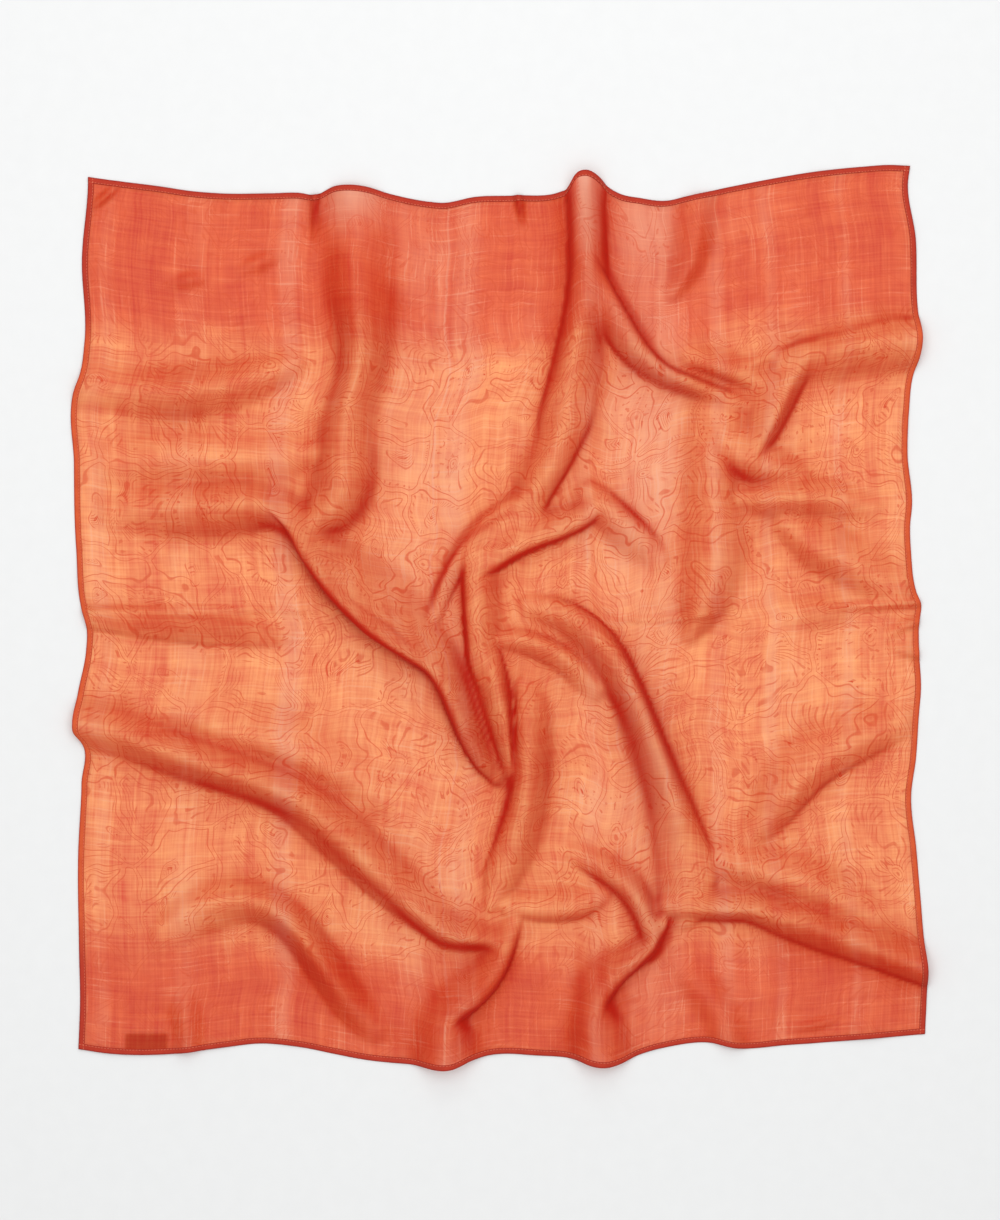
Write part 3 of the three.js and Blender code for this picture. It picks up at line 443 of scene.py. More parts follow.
class LaidCloth:
    """The laid cloth on a fine grid over the whole cut, read at any share of it."""

    def __init__(self):
        u, v = np.meshgrid(np.linspace(0, 1, CELLS_ACROSS + 1),
                           np.linspace(0, 1, CELLS_ALONG + 1))
        self.points = lay_cloth(u, v)
        normal = np.cross(np.gradient(self.points, axis=1), np.gradient(self.points, axis=0))
        self.normals = normal / np.linalg.norm(normal, axis=-1, keepdims=True)
        self.cut = self.flat_lengths()
        self.depth = self.paint_shade_and_doubling()
        self.fade = self.tone_light_and_shade()

    def flat_lengths(self):
        """Where each grid point was on the flat cut, as shares: lengths along rows and columns."""
        steps_u = np.linalg.norm(np.diff(self.points, axis=1), axis=-1)
        steps_v = np.linalg.norm(np.diff(self.points, axis=0), axis=-1)
        u = np.pad(np.cumsum(steps_u, axis=1), ((0, 0), (1, 0)))
        v = np.pad(np.cumsum(steps_v, axis=0), ((1, 0), (0, 0)))
        return np.stack((u / u[:, -1:], v / v[-1:, :]), axis=-1)

    def paint_shade_and_doubling(self):
        """Painted shade and doubled cloth, 0 on level cloth: towards 1 on steep flanks, on slopes
        turned from the far light and in valleys, as painted shade; and where the cloth is doubled or
        tucked, and over the label, which shows through."""
        x, y, height = (self.points[..., k] for k in range(3))
        least_up, most_facing = 0.12, 0.8
        up = np.clip(self.normals[..., 2], least_up, 1)
        slope = np.sqrt(1 - up * up) / up
        # painted light and shade: slopes that face the far light are painted lighter, and steep ones
        # deeper still
        facing = np.clip(self.normals[..., 1] / up, -most_facing, most_facing)
        far_light, gentle, steeper, bend, half_deep = 0.3, 0.72, 0.28, 1.3, 0.6
        slope = slope * (1.0 - far_light * facing) * (gentle + steeper * np.clip(slope, 0, 2))
        steep_shade = slope ** bend / (slope ** bend + half_deep)
        # painted shade in valleys, where the height lies below its own average
        valley_shade = sum(np.clip(blur(height, cells) - height, 0, most) * strength
                     for cells, most, strength in VALLEY_SHADE)
        label_shade, label_blur = 0.55, 3.0
        over_label = label_shade * np.clip(0.5 - past_label(x, y) / label_blur, 0, 1)
        flat = self.points[..., :2].reshape(-1, 2)
        # doubled cloth, and painted shade along the fold feet
        doubled_and_foot_shade = sum(fold_at(strip, flat)[0] for strip in DOUBLED_AND_FOOT_SHADE.values())
        return np.clip(steep_shade + valley_shade + over_label + doubled_and_foot_shade.reshape(x.shape), 0, 1)

    def tone_light_and_shade(self):
        """How much paler (above 0) or deeper (below 0) the cloth is drawn: dye in the stripes; in the
        patches uneven tone, with painted light at the fold mouths and painted shade by the pressed
        strip.
        """
        place = self.cut[..., 0] * CUT_SIDE
        x, y = self.points[..., 0], self.points[..., 1]
        stripes = sum(strength / (1 + ((place - middle) / half) ** 6)
                      for middle, half, strength in TONE_STRIPES)
        return stripes + sum(
            strength * np.exp(-((x - cx) / wide) ** 2 - ((y - cy) / tall) ** 2)
            for cx, cy, wide, tall, strength in TONE_LIGHT_AND_SHADE_PATCHES)

    def at(self, field, across, along):
        """A field of the grid, read between its points."""
        rows, columns = field.shape[0] - 1, field.shape[1] - 1
        x, y = np.clip(across, 0, 1) * columns, np.clip(along, 0, 1) * rows
        i = np.minimum(x.astype(int), columns - 1)
        j = np.minimum(y.astype(int), rows - 1)
        fx, fy = x - i, y - j
        if field.ndim == 3:
            fx, fy = fx[..., None], fy[..., None]
        return lerp(lerp(field[j, i], field[j, i + 1], fx),
                    lerp(field[j + 1, i], field[j + 1, i + 1], fx), fy)


def blur(field, reach):
    """A soft average over a grid, by repeated box averages."""
    out = field
    for axis in (0, 1, 0, 1):
        pads = [(0, 0), (0, 0)]
        pads[axis] = (reach, reach)
        padded = np.pad(out, pads, mode="edge")
        out = sum(np.take(padded, range(k, k + out.shape[axis]), axis=axis)
                  for k in range(2 * reach + 1)) / (2 * reach + 1)
    return out


LAID = {}


def laid_cloth():
    """The laid cloth, worked out once."""
    if "cloth" not in LAID:
        LAID["cloth"] = LaidCloth()
    return LAID["cloth"]


# ---- Materials ----
def joins(operation, swapped=False):
    """A method that joins a wire and another value by one Math node."""
    def method(self, other):
        return self.math(operation, *((other, self) if swapped else (self, other)))
    return method


def changes(operation):
    """A method that changes a wire by one Math node."""
    return lambda self: self.math(operation, self)


class Wire:
    """One socket of a material's nodes, with arithmetic on it."""

    def __init__(self, bench, socket):
        self.bench, self.socket = bench, socket

    def math(self, operation, *values):
        return self.bench.node("ShaderNodeMath", {"operation": operation},
                               dict(enumerate(values)))

    __add__ = joins("ADD")
    __radd__ = joins("ADD", swapped=True)
    __sub__ = joins("SUBTRACT")
    __rsub__ = joins("SUBTRACT", swapped=True)
    __mul__ = joins("MULTIPLY")
    __rmul__ = joins("MULTIPLY", swapped=True)
    __truediv__ = joins("DIVIDE")
    __abs__ = changes("ABSOLUTE")
    turn = joins("ARCTAN2")       # the angle whose tangent is this over the other, in radians
    larger = joins("MAXIMUM")
    over = joins("GREATER_THAN")
    root = changes("SQRT")
    sine = changes("SINE")
    part = changes("FRACT")

    def parts(self):
        """A vector's three numbers."""
        split = self.bench.node("ShaderNodeSeparateXYZ", None, {0: self}).socket.node
        return [Wire(self.bench, socket) for socket in split.outputs]

    def ramp(self, low, high, start=0.0, end=1.0):
        """Runs smoothly from start to end as the value goes from low to high."""
        return self.bench.node(
            "ShaderNodeMapRange", {"interpolation_type": "SMOOTHSTEP"},
            {"Value": self, "From Min": low, "From Max": high, "To Min": start, "To Max": end})

    def line(self, place, half, fade):
        """1 where the value is within half of place, falling to 0 over fade."""
        return abs(self - place).ramp(half, half + fade, 1.0, 0.0)


class Bench:
    """Builds one material's nodes."""

    def __init__(self, name):
        self.material = bpy.data.materials.new(name)
        self.material.use_nodes = True
        self.tree = self.material.node_tree
        self.tree.nodes.clear()

    def node(self, kind, settings=None, inputs=None, output=0):
        made = self.tree.nodes.new(kind)
        for key, value in (settings or {}).items():
            setattr(made, key, value)
        for key, value in (inputs or {}).items():
            socket = made.inputs[key]
            if isinstance(value, Wire):
                self.tree.links.new(value.socket, socket)
            else:
                socket.default_value = value
        return Wire(self, made.outputs[output]) if made.outputs else made

    def blend(self, factor, a, b, kind="MIX"):
        """A colour between a and b."""
        settings = {"data_type": "RGBA", "blend_type": kind}
        return self.node("ShaderNodeMix", settings, {0: factor, 6: a, 7: b}, 2)

    def shaded(self, colour, red, rest):
        """A colour with its red and its green and blue made stronger or weaker."""
        shade = self.node("ShaderNodeCombineColor", None, {0: red, 1: rest, 2: rest})
        return self.blend(1.0, colour, shade, "MULTIPLY")

    def vector(self, x, y):
        return self.node("ShaderNodeCombineXYZ", None, {0: x, 1: y})

    def noise(self, place, scale, detail=1.0, rough=0.5, output=0):
        return self.node("ShaderNodeTexNoise", {"noise_dimensions": "2D"},
                         {"Vector": place, "Scale": scale, "Detail": detail, "Roughness": rough},
                         output)

    def cells(self, place, scale, feature="F1"):
        """A cell pattern's outputs by name."""
        made = self.node("ShaderNodeTexVoronoi",
                         {"voronoi_dimensions": "2D", "feature": feature},
                         {"Vector": place, "Scale": scale}).socket.node
        return {socket.name: Wire(self, socket) for socket in made.outputs}

    def cut_place(self, cut_mm):
        """The place on the flat cut in mm, as two numbers."""
        x, y, _ = self.node("ShaderNodeUVMap", {"uv_map": "cut"}).parts()
        return x * cut_mm, y * cut_mm

    def object_place(self):
        return self.node("ShaderNodeTexCoord", None, None, "Object")

    def field(self, name):
        """One of the cloth's own fields, kept on its points."""
        return self.node("ShaderNodeAttribute", {"attribute_name": name}, None, "Fac")

    def bump(self, strength, distance, height):
        return self.node("ShaderNodeBump", None,
                         {"Strength": strength, "Distance": distance, "Height": height})

    def body(self, colour, roughness, more):
        return self.node("ShaderNodeBsdfPrincipled", None,
                         {"Base Color": colour, "Roughness": roughness, **more})

    def finish(self, shader):
        self.node("ShaderNodeOutputMaterial", None, {"Surface": shader})
        return self.material


def print_lines(bench, x, y):
    """The line print: double-outlined channels round island cells, with ornament inside.

    Lengths are in mm on the cut; a turn is a share of a whole one.
    """
    island_size, slow_warp, quick_warp = 62.0, 62.0, 13.0
    place = bench.vector(x, y)
    slow_x, slow_y, _ = bench.noise(place, 0.013, 0.0, output=1).parts()
    quick_x, quick_y, _ = bench.noise(place, 0.045, 0.0, output=1).parts()
    wx = x + (slow_x - 0.5) * slow_warp + (quick_x - 0.5) * quick_warp
    wy = y + (slow_y - 0.5) * slow_warp + (quick_y - 0.5) * quick_warp
    warped = bench.vector(wx, wy)
    edge = bench.cells(warped, 1 / island_size, "DISTANCE_TO_EDGE")["Distance"] * island_size
    island = bench.cells(warped, 1 / island_size)
    centre = island["Distance"] * island_size
    kind, spin, _ = island["Color"].parts()
    middle_x, middle_y, _ = island["Position"].parts()
    dx, dy = wx - middle_x, wy - middle_y
    turn = dy.turn(dx) * (1 / (2 * math.pi))
    channel = edge.line(3.0, 0.25, 0.6)
    inside = edge.ramp(4.6, 5.2)

    # short strokes across the outline, rays, and a leaf with ribs turned each island's own way
    strokes, ray_count, rib_step = 44.0, 24.0, 3.3
    comb = (turn * strokes).part().line(0.5, 0.10, 0.12) * inside * edge.ramp(8.0, 8.6, 1.0, 0.0)
    rays = (turn * ray_count).part().line(0.5, 0.08, 0.10) * edge.ramp(9.5, 10.5) \
        * centre.ramp(7.5, 9.0)
    c, s = (spin * 6.28).sine(), (spin * 6.28 + 1.57).sine()
    rx, ry = dx * c + dy * s, dy * c - dx * s
    leaf = ((rx * rx) * 0.0045 + (ry * ry) * 0.02).root()
    ribs = ((abs(ry) * 0.9 + rx) / rib_step).part().line(0.5, 0.10, 0.14)
    leaves = leaf.line(1.0, 0.05, 0.07) + ribs * leaf.ramp(0.72, 0.84, 1.0, 0.0)
    rings = centre.line(9.0, 0.25, 0.5) + centre.line(5.5, 0.3, 0.5)
    dots = bench.noise(warped, 0.22, 0.0).ramp(0.71, 0.76) * inside
    eye = centre.ramp(1.6, 2.4, 1.0, 0.0)
    echo_step = 3.6
    echo = (edge / echo_step).part().line(0.5, 0.07, 0.12) * edge.ramp(6.0, 7.0) \
        * edge.ramp(17.0, 18.0, 1.0, 0.0)

    def chosen(low, high):
        return kind.over(low) - kind.over(high)

    ornament = (rings + rays) * chosen(0.0, 0.3) + leaves * chosen(0.3, 0.6) \
        + (dots + rings) * chosen(0.6, 0.82) + echo * chosen(0.82, 1.01)
    broken = bench.noise(place, 0.06, 0.0).ramp(0.30, 0.50)
    return channel + (ornament + comb * spin.over(0.35) + eye) * broken * 0.9


def cross_bands(x, y, cloud):
    """1 in the cross bands of deeper dye near the top and bottom of the cut."""
    step = (x * (1 / 34.0) + 0.35).part()
    edge_shift = (cloud - 0.5) * 60.0 + (step - 0.5) * 6.0
    top = (y + edge_shift).ramp(738.0, 786.0)
    bottom = (y + edge_shift * 0.8).ramp(76.0, 146.0, 1.0, 0.0)
    return top.larger(bottom)


def cloth_material(colours):
    """Sheer plain-weave cloth: over-dye with deeper bands, line print, slubs and weave."""
    bench = Bench("sheer_printed_cloth")
    x, y = bench.cut_place(colours.cut_mm)
    place = bench.vector(x, y)
    cloud = bench.noise(place, 0.012, 2.0)
    mottle = bench.noise(place, 0.04, 3.0, 0.6)
    band = cross_bands(x, y, cloud)

    # threads both ways: fine slubs, and wider streaks that make faint stripes and blocks
    fine_x = bench.noise(bench.vector(x * 0.016, y * 0.45), 1.0)
    fine_y = bench.noise(bench.vector(x * 0.45, y * 0.016 + 70.0), 1.0)
    wide_x = bench.noise(bench.vector(x * 0.0035, y * 0.10 + 190.0), 1.0, 2.0)
    wide_y = bench.noise(bench.vector(x * 0.10, y * 0.0035 + 310.0), 1.0, 2.0)
    thread = (fine_x + fine_y - 1.0) * 0.6 + (wide_x + wide_y * 1.3 - 1.15) * 0.45
    slub = fine_x.ramp(0.66, 0.76) + fine_y.ramp(0.66, 0.76) + x.line(391.0, 0.6, 1.2)
    printed = print_lines(bench, x, y)
    # the painted shade and doubled cloth field, and the tone field with its painted light and shade
    # patches
    deep_shade_and_doubling, fade = bench.field("depth"), bench.field("fade")

    ground = bench.blend(band, colours.dye, colours.band_dye)
    # tone from threads, mottle and cloud, and the deeper tone stripes and patches; by the pressed strip
    # that is painted shade
    level = thread + (mottle - 0.5) * 0.6 + (cloud - 0.5) * 0.5 \
        + fade.ramp(-0.6, 0.0, -0.25, 0.0) + 1.0
    ground = bench.shaded(ground, level * 0.25 + 0.75, level)
    # paler with the tone stripes and patches, slubs and cloud; at the lifted fold mouths by the top hem
    # that is painted light
    pale = fade * 0.7 + slub * 0.3 + (cloud - 0.5) * 0.6 + (wide_y - 0.5) * 0.4 + 0.12
    ground = bench.blend(pale.ramp(0.0, 1.2) * (1.0 - band * 0.3), ground, colours.slub)
    inked = bench.blend(printed * (0.6 - band * 0.2) * (mottle + 0.5), ground, colours.ink)
    # painted shade: deep red on steep flanks, on slopes turned from the far light, in valleys and along
    # fold feet; also doubled cloth and the label showing through
    dye_and_painted_shade = bench.blend(deep_shade_and_doubling, inked, colours.deep_shade_and_doubling)

    threads_turn = 7.0            # radians a mm
    weave = (x * threads_turn).sine() * (y * threads_turn).sine()
    bump = bench.bump(0.3, 0.0003, weave * 0.1 + (fine_x + fine_y) * 0.6)
    body = bench.body(dye_and_painted_shade, 0.6, {"Normal": bump, "Sheen Weight": 0.04, "Sheen Roughness": 0.5,
                                  "Specular IOR Level": 0.2})
    through = bench.node("ShaderNodeBsdfTranslucent", None, {"Color": dye_and_painted_shade, "Normal": bump})
    clear = bench.node("ShaderNodeBsdfTransparent")
    let_through, clearest, least_clear = 0.45, 0.17, 0.01
    lit = bench.node("ShaderNodeMixShader", None, {0: let_through, 1: body, 2: through})
    # less see-through where the painted shade and doubled cloth field is high
    sheer = bench.node("ShaderNodeMixShader", None,
                       {0: deep_shade_and_doubling.ramp(0.0, 0.6, clearest, least_clear), 1: lit, 2: clear})
    return bench.finish(sheer)


def hem_material(colours):
    """The same cloth turned twice: darker, mottled, darker towards its outer edge, with painted shade
    in the groove along its stitching, and ribbed.
    """
    bench = Bench("turned_hem_cloth")
    x, y = bench.cut_place(colours.cut_mm)
    place = bench.vector(x, y)
    mottle = bench.noise(place, 0.09, 3.0, 0.6)
    fine = bench.noise(place, 0.9, 2.0, 0.6)
    band = cross_bands(x, y, bench.noise(place, 0.012, 2.0))
    half = colours.cut_mm / 2
    nearest = abs(x - half).larger(abs(y - half)) * -1.0 + half
    # darker towards the outer edge, and a line of painted shade in the groove along the stitching
    rim_dark_and_groove_shade = nearest.ramp(0.2, 2.2, 0.5, 1.0) * (1.0 - nearest.line(5.3, 0.3, 0.6) * 0.3)
    twist = ((x + y) * 2.6 + mottle * 8.0).sine()
    shade = ((mottle - 0.5) * 0.55 + (fine - 0.5) * 0.35 + 1.0) * rim_dark_and_groove_shade
    dye_and_painted_shade = bench.shaded(bench.blend(band, colours.hem_dye, colours.hem_band_dye),
                        shade * 0.5 + 0.5, shade)
    bump = bench.bump(0.5, 0.0004, twist * 0.4 + fine)
    return bench.finish(bench.body(dye_and_painted_shade, 0.7, {"Normal": bump, "Specular IOR Level": 0.2}))


def thread_material(colours):
    """Sewing thread, a little lighter than the hem, twisted."""
    bench = Bench("sewing_thread")
    fibre = bench.noise(bench.object_place(), 900.0, 3.0, 0.6)
    tint = bench.blend(fibre, colours.thread, colours.hem_dye)
    return bench.finish(bench.body(tint, 0.55, {"Normal": bench.bump(0.4, 0.0002, fibre)}))


def label_material(colours):
    """A plain woven tape."""
    bench = Bench("label_tape")
    place = bench.object_place()
    lie_x, lie_y, _ = place.parts()
    rib = (lie_y * 5200.0).sine() * 0.5 + (lie_x * 9000.0).sine() * 0.3
    tint = bench.blend(bench.noise(place, 400.0, 3.0), colours.label, colours.label_shade)
    return bench.finish(bench.body(tint, 0.8, {"Normal": bench.bump(0.5, 0.0002, rib)}))


def floor_material():
    bench = Bench("pale_floor")
    grain = bench.noise(bench.object_place(), 60.0, 2.0)
    tint = bench.blend(grain, (0.685, 0.69, 0.69, 1), (0.705, 0.71, 0.71, 1))
    return bench.finish(bench.body(tint, 0.9, {"Specular IOR Level": 0.1}))


# ---- Mesh helpers ----
def mesh_from(bm, name):
    mesh = bpy.data.meshes.new(name)
    bm.to_mesh(mesh)
    bm.free()
    return mesh


def add_object(name, mesh, material):
    piece = bpy.data.objects.new(name, mesh)
    bpy.context.scene.collection.objects.link(piece)
    mesh.materials.append(material)
    mesh.shade_smooth()
    return piece


def add_piece(name, mesh, material, node=None):
    """A piece of the scarf, on its one body, in place of a node where it has one."""
    piece = add_object(name, mesh, material)
    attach(piece, "root")
    if node:
        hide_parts(node)


def grid_mesh(name, across, along, points, cut):
    """A sheet of quads: a grid whose points are then laid in place, with the cut as its UV."""
    columns, rows = across - 1, along - 1
    bm = bmesh.new()
    bmesh.ops.create_grid(bm, x_segments=columns, y_segments=rows, size=0.5)
    mesh = mesh_from(bm, name)
    flat = np.empty(len(mesh.vertices) * 3)
    mesh.vertices.foreach_get("co", flat)
    flat = flat.reshape(-1, 3)
    i = np.rint((flat[:, 0] + 0.5) * columns).astype(int)
    j = np.rint((flat[:, 1] + 0.5) * rows).astype(int)
    mesh.vertices.foreach_set("co", (points[j, i] * MM).ravel())
    corner = np.empty(len(mesh.loops), int)
    mesh.loops.foreach_get("vertex_index", corner)
    layer = mesh.uv_layers.new(name="cut")
    layer.data.foreach_set("uv", cut[j, i][corner].ravel())
    mesh.update()
    return mesh, i, j


# ---- Properties ----
def length(name, description, default):
    return bpy.props.FloatProperty(name=name, description=description, default=default,
                                   unit="LENGTH")


def colour(name, description, red, green, blue):
    return bpy.props.FloatVectorProperty(name=name, description=description, subtype="COLOR",
                                         size=4, default=(red, green, blue, 1.0))


class ScarfSizes(bpy.types.PropertyGroup):
    cut_side: length("Cut side", "Side of the square cut, hems included", CUT_SIDE * MM)
    hem_width: length("Hem width", "Width of the turned hem", 0.006)
    hem_wall: length("Hem thickness", "Thickness of the turned hem", 0.0011)
    stitch_step: length("Stitch step", "Distance from one stitch to the next", 0.0031)
    stitch_length: length("Stitch length", "Length of one stitch", 0.0024)


class ScarfColours(bpy.types.PropertyGroup):
    cut_mm: bpy.props.FloatProperty(
        name="Pattern side", description="Side of the square that the print covers, in mm",
        default=CUT_SIDE)
    dye: colour("Dye", "Over-dye of the middle field", 1.0, 0.36, 0.14)
    band_dye: colour("Band dye", "Deeper dye of the cross bands", 0.86, 0.145, 0.045)
    # the deep red painted as shade on steep flanks, valleys and fold feet, and on doubled cloth
    deep_shade_and_doubling: colour("Fold dye", "Colour where folds stand steep", 0.58, 0.016, 0.002)
    ink: colour("Print ink", "Colour of the line print", 0.78, 0.085, 0.012)
    slub: colour("Slub", "Colour of thick pale threads", 0.98, 0.50, 0.32)
    hem_dye: colour("Hem dye", "Colour of the turned hem", 0.55, 0.08, 0.022)
    hem_band_dye: colour("Hem dye in the bands", "Colour of the hem where it crosses the bands",
                         0.40, 0.03, 0.012)
    thread: colour("Thread", "Colour of the sewing thread", 0.86, 0.27, 0.15)
    label: colour("Label", "Colour of the plain label", 0.12, 0.012, 0.008)
    label_shade: colour("Label shade", "Darker colour in the label's weave", 0.08, 0.01, 0.008)


class SCARF_OT_stage(bpy.types.Operator):
    """Adds the pale surface, the soft studio light and the camera straight above"""
    bl_idname = "scarf.stage"
    bl_label = "Stage"

    def execute(self, context):
        floor_half, below, world_light = 12.0, 0.0002, 0.70
        bm = bmesh.new()
        bmesh.ops.create_grid(bm, x_segments=1, y_segments=1, size=floor_half)
        bmesh.ops.translate(bm, verts=bm.verts, vec=(0, 0, -below))
        floor = add_object("floor", mesh_from(bm, "floor"), floor_material())

        self.light(context, "sky_panel", (0.0, 0.3, 2.6), 3.2, 54.0)
        self.light(context, "far_panel", (0.0, 2.4, 1.5), 1.6, 14.0)
        world = bpy.data.worlds.new("studio")
        world.use_nodes = True
        background = world.node_tree.nodes["Background"]
        background.inputs["Color"].default_value = (1, 1, 1, 1)
        background.inputs["Strength"].default_value = world_light
        context.scene.world = world
        context.scene.view_settings.view_transform = "Standard"

        height, view_side = 4.0, 1.22
        lens = bpy.data.cameras.new("camera")
        lens.sensor_fit = "VERTICAL"
        lens.angle = 2 * math.atan(view_side / 2 / height)
        camera = bpy.data.objects.new("camera", lens)
        camera.location = (-0.001, 0.007, height)
        context.scene.collection.objects.link(camera)
        context.scene.camera = camera
        return {"FINISHED"}

    def light(self, context, name, place, size, power):
        """A square panel of light that faces the scarf's middle; metres and watts."""
        lamp = bpy.data.lights.new(name, "AREA")
        lamp.shape, lamp.size, lamp.energy = "SQUARE", size, power
        holder = bpy.data.objects.new(name, lamp)
        holder.location = place
        holder.rotation_euler = Vector(place).to_track_quat("Z", "Y").to_euler()
        context.scene.collection.objects.link(holder)


class SCARF_OT_panel(bpy.types.Operator):
    """Lays out the sheer printed panel"""
    bl_idname = "scarf.panel"
    bl_label = "Panel"

    def execute(self, context):
        cloth = laid_cloth()
        tuck = context.scene.scarf_sizes.hem_width / MM / 2
        u = np.linspace(tuck / LAID_WIDTH, 1 - tuck / LAID_WIDTH, CELLS_ACROSS + 1)
        v = np.linspace(tuck / LAID_LENGTH, 1 - tuck / LAID_LENGTH, CELLS_ALONG + 1)
        u, v = np.meshgrid(u, v)
        mesh, i, j = grid_mesh("panel_cloth", u.shape[1], u.shape[0],
                               cloth.at(cloth.points, u, v), cloth.at(cloth.cut, u, v))
        for name, field in (("depth", cloth.depth), ("fade", cloth.fade)):
            layer = mesh.attributes.new(name, "FLOAT", "POINT")
            layer.data.foreach_set("value", cloth.at(field, u, v)[j, i])
        add_piece("panel_cloth", mesh, cloth_material(context.scene.scarf_colours),
                  "panel")
        return {"FINISHED"}


# Each side by the corners of the cut where it starts and ends, its inward way, and its length.
HEMS = {
    "hem_top": dict(start=(0, 1), end=(1, 1), inward=(0, -1), run=LAID_WIDTH),
    "hem_bottom": dict(start=(1, 0), end=(0, 0), inward=(0, 1), run=LAID_WIDTH),
    "hem_left": dict(start=(0, 0), end=(0, 1), inward=(1, 0), run=LAID_LENGTH),
    "hem_right": dict(start=(1, 1), end=(1, 0), inward=(-1, 0), run=LAID_LENGTH),
}
HEM_STEPS = 620
HEM_SECTION = 14


def hem_point(cloth, side, share, inset, lift):
    """A point by its share of a hem's length, its inset from the outer edge and its lift, mm,
    and where that is on the cut."""
    start, end, inward = (np.array(side[key], float) for key in ("start", "end", "inward"))
    across = lerp(start[0], end[0], share) + inward[0] * inset / LAID_WIDTH
    along = lerp(start[1], end[1], share) + inward[1] * inset / LAID_LENGTH
    point = cloth.at(cloth.points, across, along) \
        + cloth.at(cloth.normals, across, along) * lift[..., None]
    return point, cloth.at(cloth.cut, across, along)


class SCARF_OT_hems(bpy.types.Operator):
    """Makes the four double-turned hems along the panel's edges"""
    bl_idname = "scarf.hems"
    bl_label = "Hems"

    def execute(self, context):
        sizes = context.scene.scarf_sizes
        width, wall = sizes.hem_width / MM, sizes.hem_wall / MM
        material = hem_material(context.scene.scarf_colours)
        share, turn = np.meshgrid(np.linspace(0, 1, HEM_STEPS + 1),
                                  np.linspace(0, 2 * math.pi, HEM_SECTION + 1))
        # a flattened section, its inner side a little wavy and its top a little puckered
        flat_x = np.sign(np.cos(turn)) * np.abs(np.cos(turn)) ** 0.45
        flat_z = np.sign(np.sin(turn)) * np.abs(np.sin(turn)) ** 0.6
        wobble = 0.25 * np.sin(share * 173.0 + 2.0) + 0.18 * np.sin(share * 391.0)
        pucker = 0.12 * np.sin(share * 1450.0)
        inset = width / 2 + flat_x * (width / 2 + 0.12 * wobble * (flat_x > 0))
        lift = wall * 0.5 * flat_z * (1 + pucker * (flat_z > 0)) + 0.15
        for name, side in HEMS.items():
            points, cut = hem_point(laid_cloth(), side, share, inset, lift)
            mesh, _, _ = grid_mesh(name + "_cloth", HEM_STEPS + 1, HEM_SECTION + 1, points, cut)
            bm = bmesh.new()
            bm.from_mesh(mesh)
            bmesh.ops.remove_doubles(bm, verts=bm.verts, dist=1e-6)
            bmesh.ops.holes_fill(bm, edges=[e for e in bm.edges if e.is_boundary], sides=0)
            bmesh.ops.recalc_face_normals(bm, faces=bm.faces)
            bm.to_mesh(mesh)
            bm.free()
            add_piece(name + "_cloth", mesh, material, name)
        return {"FINISHED"}


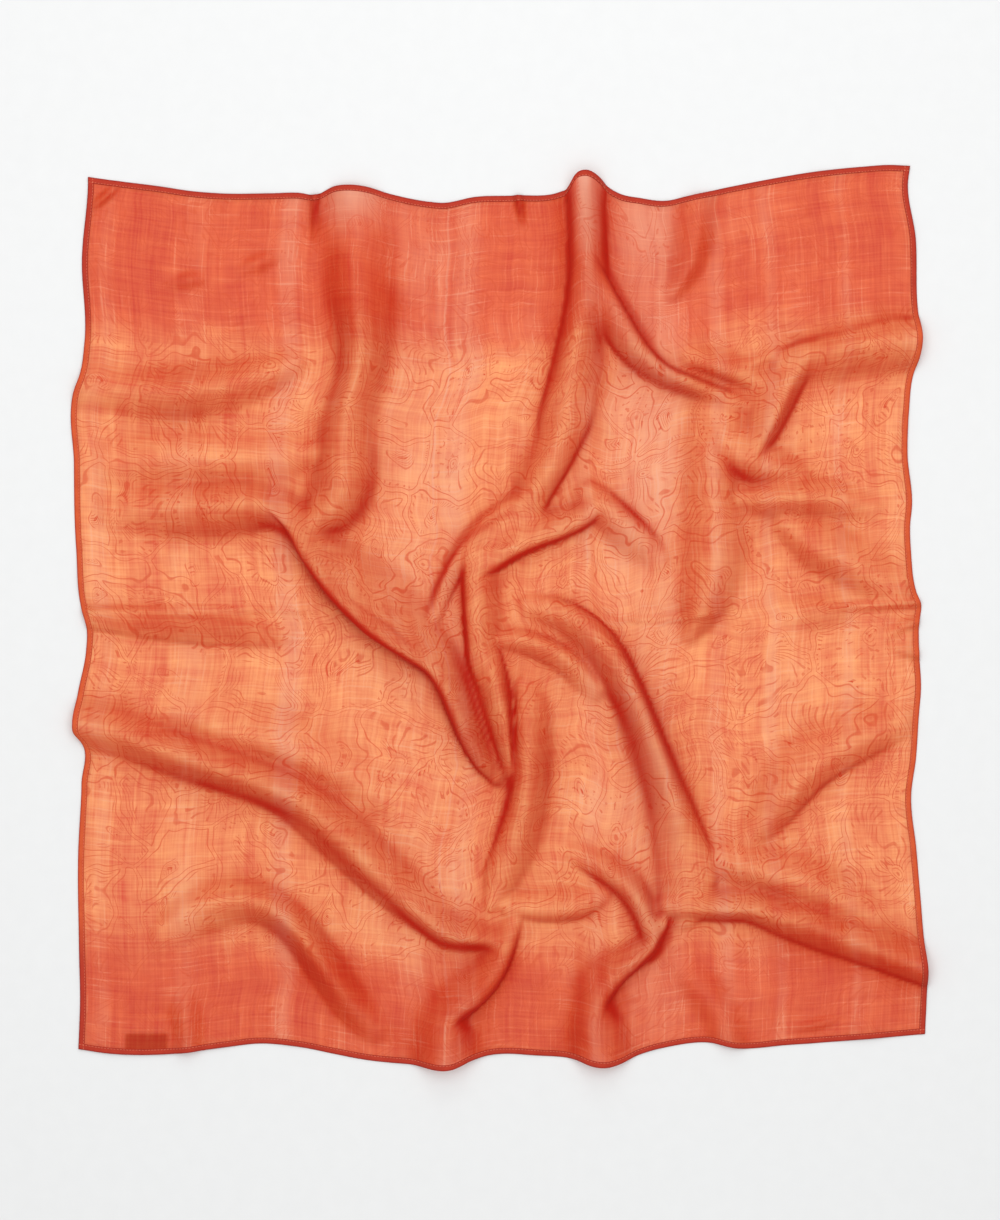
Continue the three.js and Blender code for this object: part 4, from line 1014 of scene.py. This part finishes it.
class SCARF_OT_stitching(bpy.types.Operator):
    """Sews a row of machine stitches along the inner edge of each hem"""
    bl_idname = "scarf.stitching"
    bl_label = "Stitching"

    def execute(self, context):
        sizes = context.scene.scarf_sizes
        material = thread_material(context.scene.scarf_colours)
        step, length = sizes.stitch_step / MM, sizes.stitch_length / MM
        from_fold, above = 1.1, 0.2
        inset = sizes.hem_width / MM - from_fold
        stitch, faces = self.stitch(length)
        for name, side in HEMS.items():
            count = int(side["run"] / step)
            middle = (np.arange(count) + 0.5) / count
            share = middle[:, None] + stitch[None, :, 0] / side["run"]
            lift = stitch[None, :, 2] + sizes.hem_wall / MM * 0.5 + above
            points, _ = hem_point(laid_cloth(), side, np.clip(share, 0, 1),
                                  inset + stitch[None, :, 1], lift)
            mesh = self.many(name + "_stitches", points, faces)
            add_piece(name + "_stitches", mesh, material)
        return {"FINISHED"}

    def stitch(self, length):
        """A stitch's points in mm (along the hem, across it, up) and its faces, both in an
        order that is the same on every run."""
        half_width, half_height = 0.24, 0.2
        bm = bmesh.new()
        bmesh.ops.create_uvsphere(bm, u_segments=6, v_segments=5, radius=1.0)
        bm.verts.index_update()
        ball = np.array([v.co[:] for v in bm.verts])
        order = np.lexsort(ball.round(4).T)
        rank = np.argsort(order).tolist()
        faces = sorted([rank[v.index] for v in face.verts] for face in bm.faces)
        bm.free()
        across, up, along = ball[order].T
        points = (along * length / 2, across * half_width, up * half_height)
        return np.column_stack(points), faces

    def many(self, name, points, one):
        """One mesh of a stitch at every place."""
        size = points.shape[1]
        faces = [[k + n * size for k in face] for n in range(len(points)) for face in one]
        mesh = bpy.data.meshes.new(name)
        mesh.from_pydata((points.reshape(-1, 3) * MM).tolist(), [], faces)
        mesh.update()
        return mesh


class SCARF_OT_label(bpy.types.Operator):
    """Adds the plain folded label that shows through the cloth"""
    bl_idname = "scarf.label"
    bl_label = "Label"

    def execute(self, context):
        low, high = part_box("label")
        bm = bmesh.new()
        bmesh.ops.create_cube(bm, size=1.0)
        bmesh.ops.scale(bm, vec=[h - l for l, h in zip(low, high)], verts=bm.verts)
        bmesh.ops.translate(bm, vec=[(l + h) / 2 for l, h in zip(low, high)], verts=bm.verts)
        bmesh.ops.bevel(bm, geom=bm.edges, offset=0.0003, segments=3, profile=0.5,
                        affect="EDGES", material=-1)
        add_piece("label_tape", mesh_from(bm, "label_tape"),
                  label_material(context.scene.scarf_colours), "label")
        return {"FINISHED"}


class SCARF_PT_parts(bpy.types.Panel):
    """Lists the scarf's pieces and its sizes and colours"""
    bl_label = "Scarf"
    bl_idname = "SCARF_PT_parts"
    bl_space_type = "VIEW_3D"
    bl_region_type = "UI"
    bl_category = "Scarf"

    def draw(self, context):
        for operator in OPERATORS:
            self.layout.operator(operator.bl_idname)
        for group in (context.scene.scarf_sizes, context.scene.scarf_colours):
            for key in group.__annotations__:
                self.layout.prop(group, key)


OPERATORS = (SCARF_OT_stage, SCARF_OT_panel, SCARF_OT_hems, SCARF_OT_stitching,
             SCARF_OT_label)
CLASSES = (ScarfSizes, ScarfColours, *OPERATORS, SCARF_PT_parts)


def register():
    for cls in CLASSES:
        bpy.utils.register_class(cls)
    bpy.types.Scene.scarf_sizes = bpy.props.PointerProperty(type=ScarfSizes)
    bpy.types.Scene.scarf_colours = bpy.props.PointerProperty(type=ScarfColours)


def unregister():
    del bpy.types.Scene.scarf_sizes
    del bpy.types.Scene.scarf_colours
    for cls in reversed(CLASSES):
        bpy.utils.unregister_class(cls)


def main():
    register()
    bpy.ops.scarf.stage()
    bpy.ops.scarf.panel()
    bpy.ops.scarf.hems()
    bpy.ops.scarf.stitching()
    bpy.ops.scarf.label()


if __name__ == "__main__":
    main()
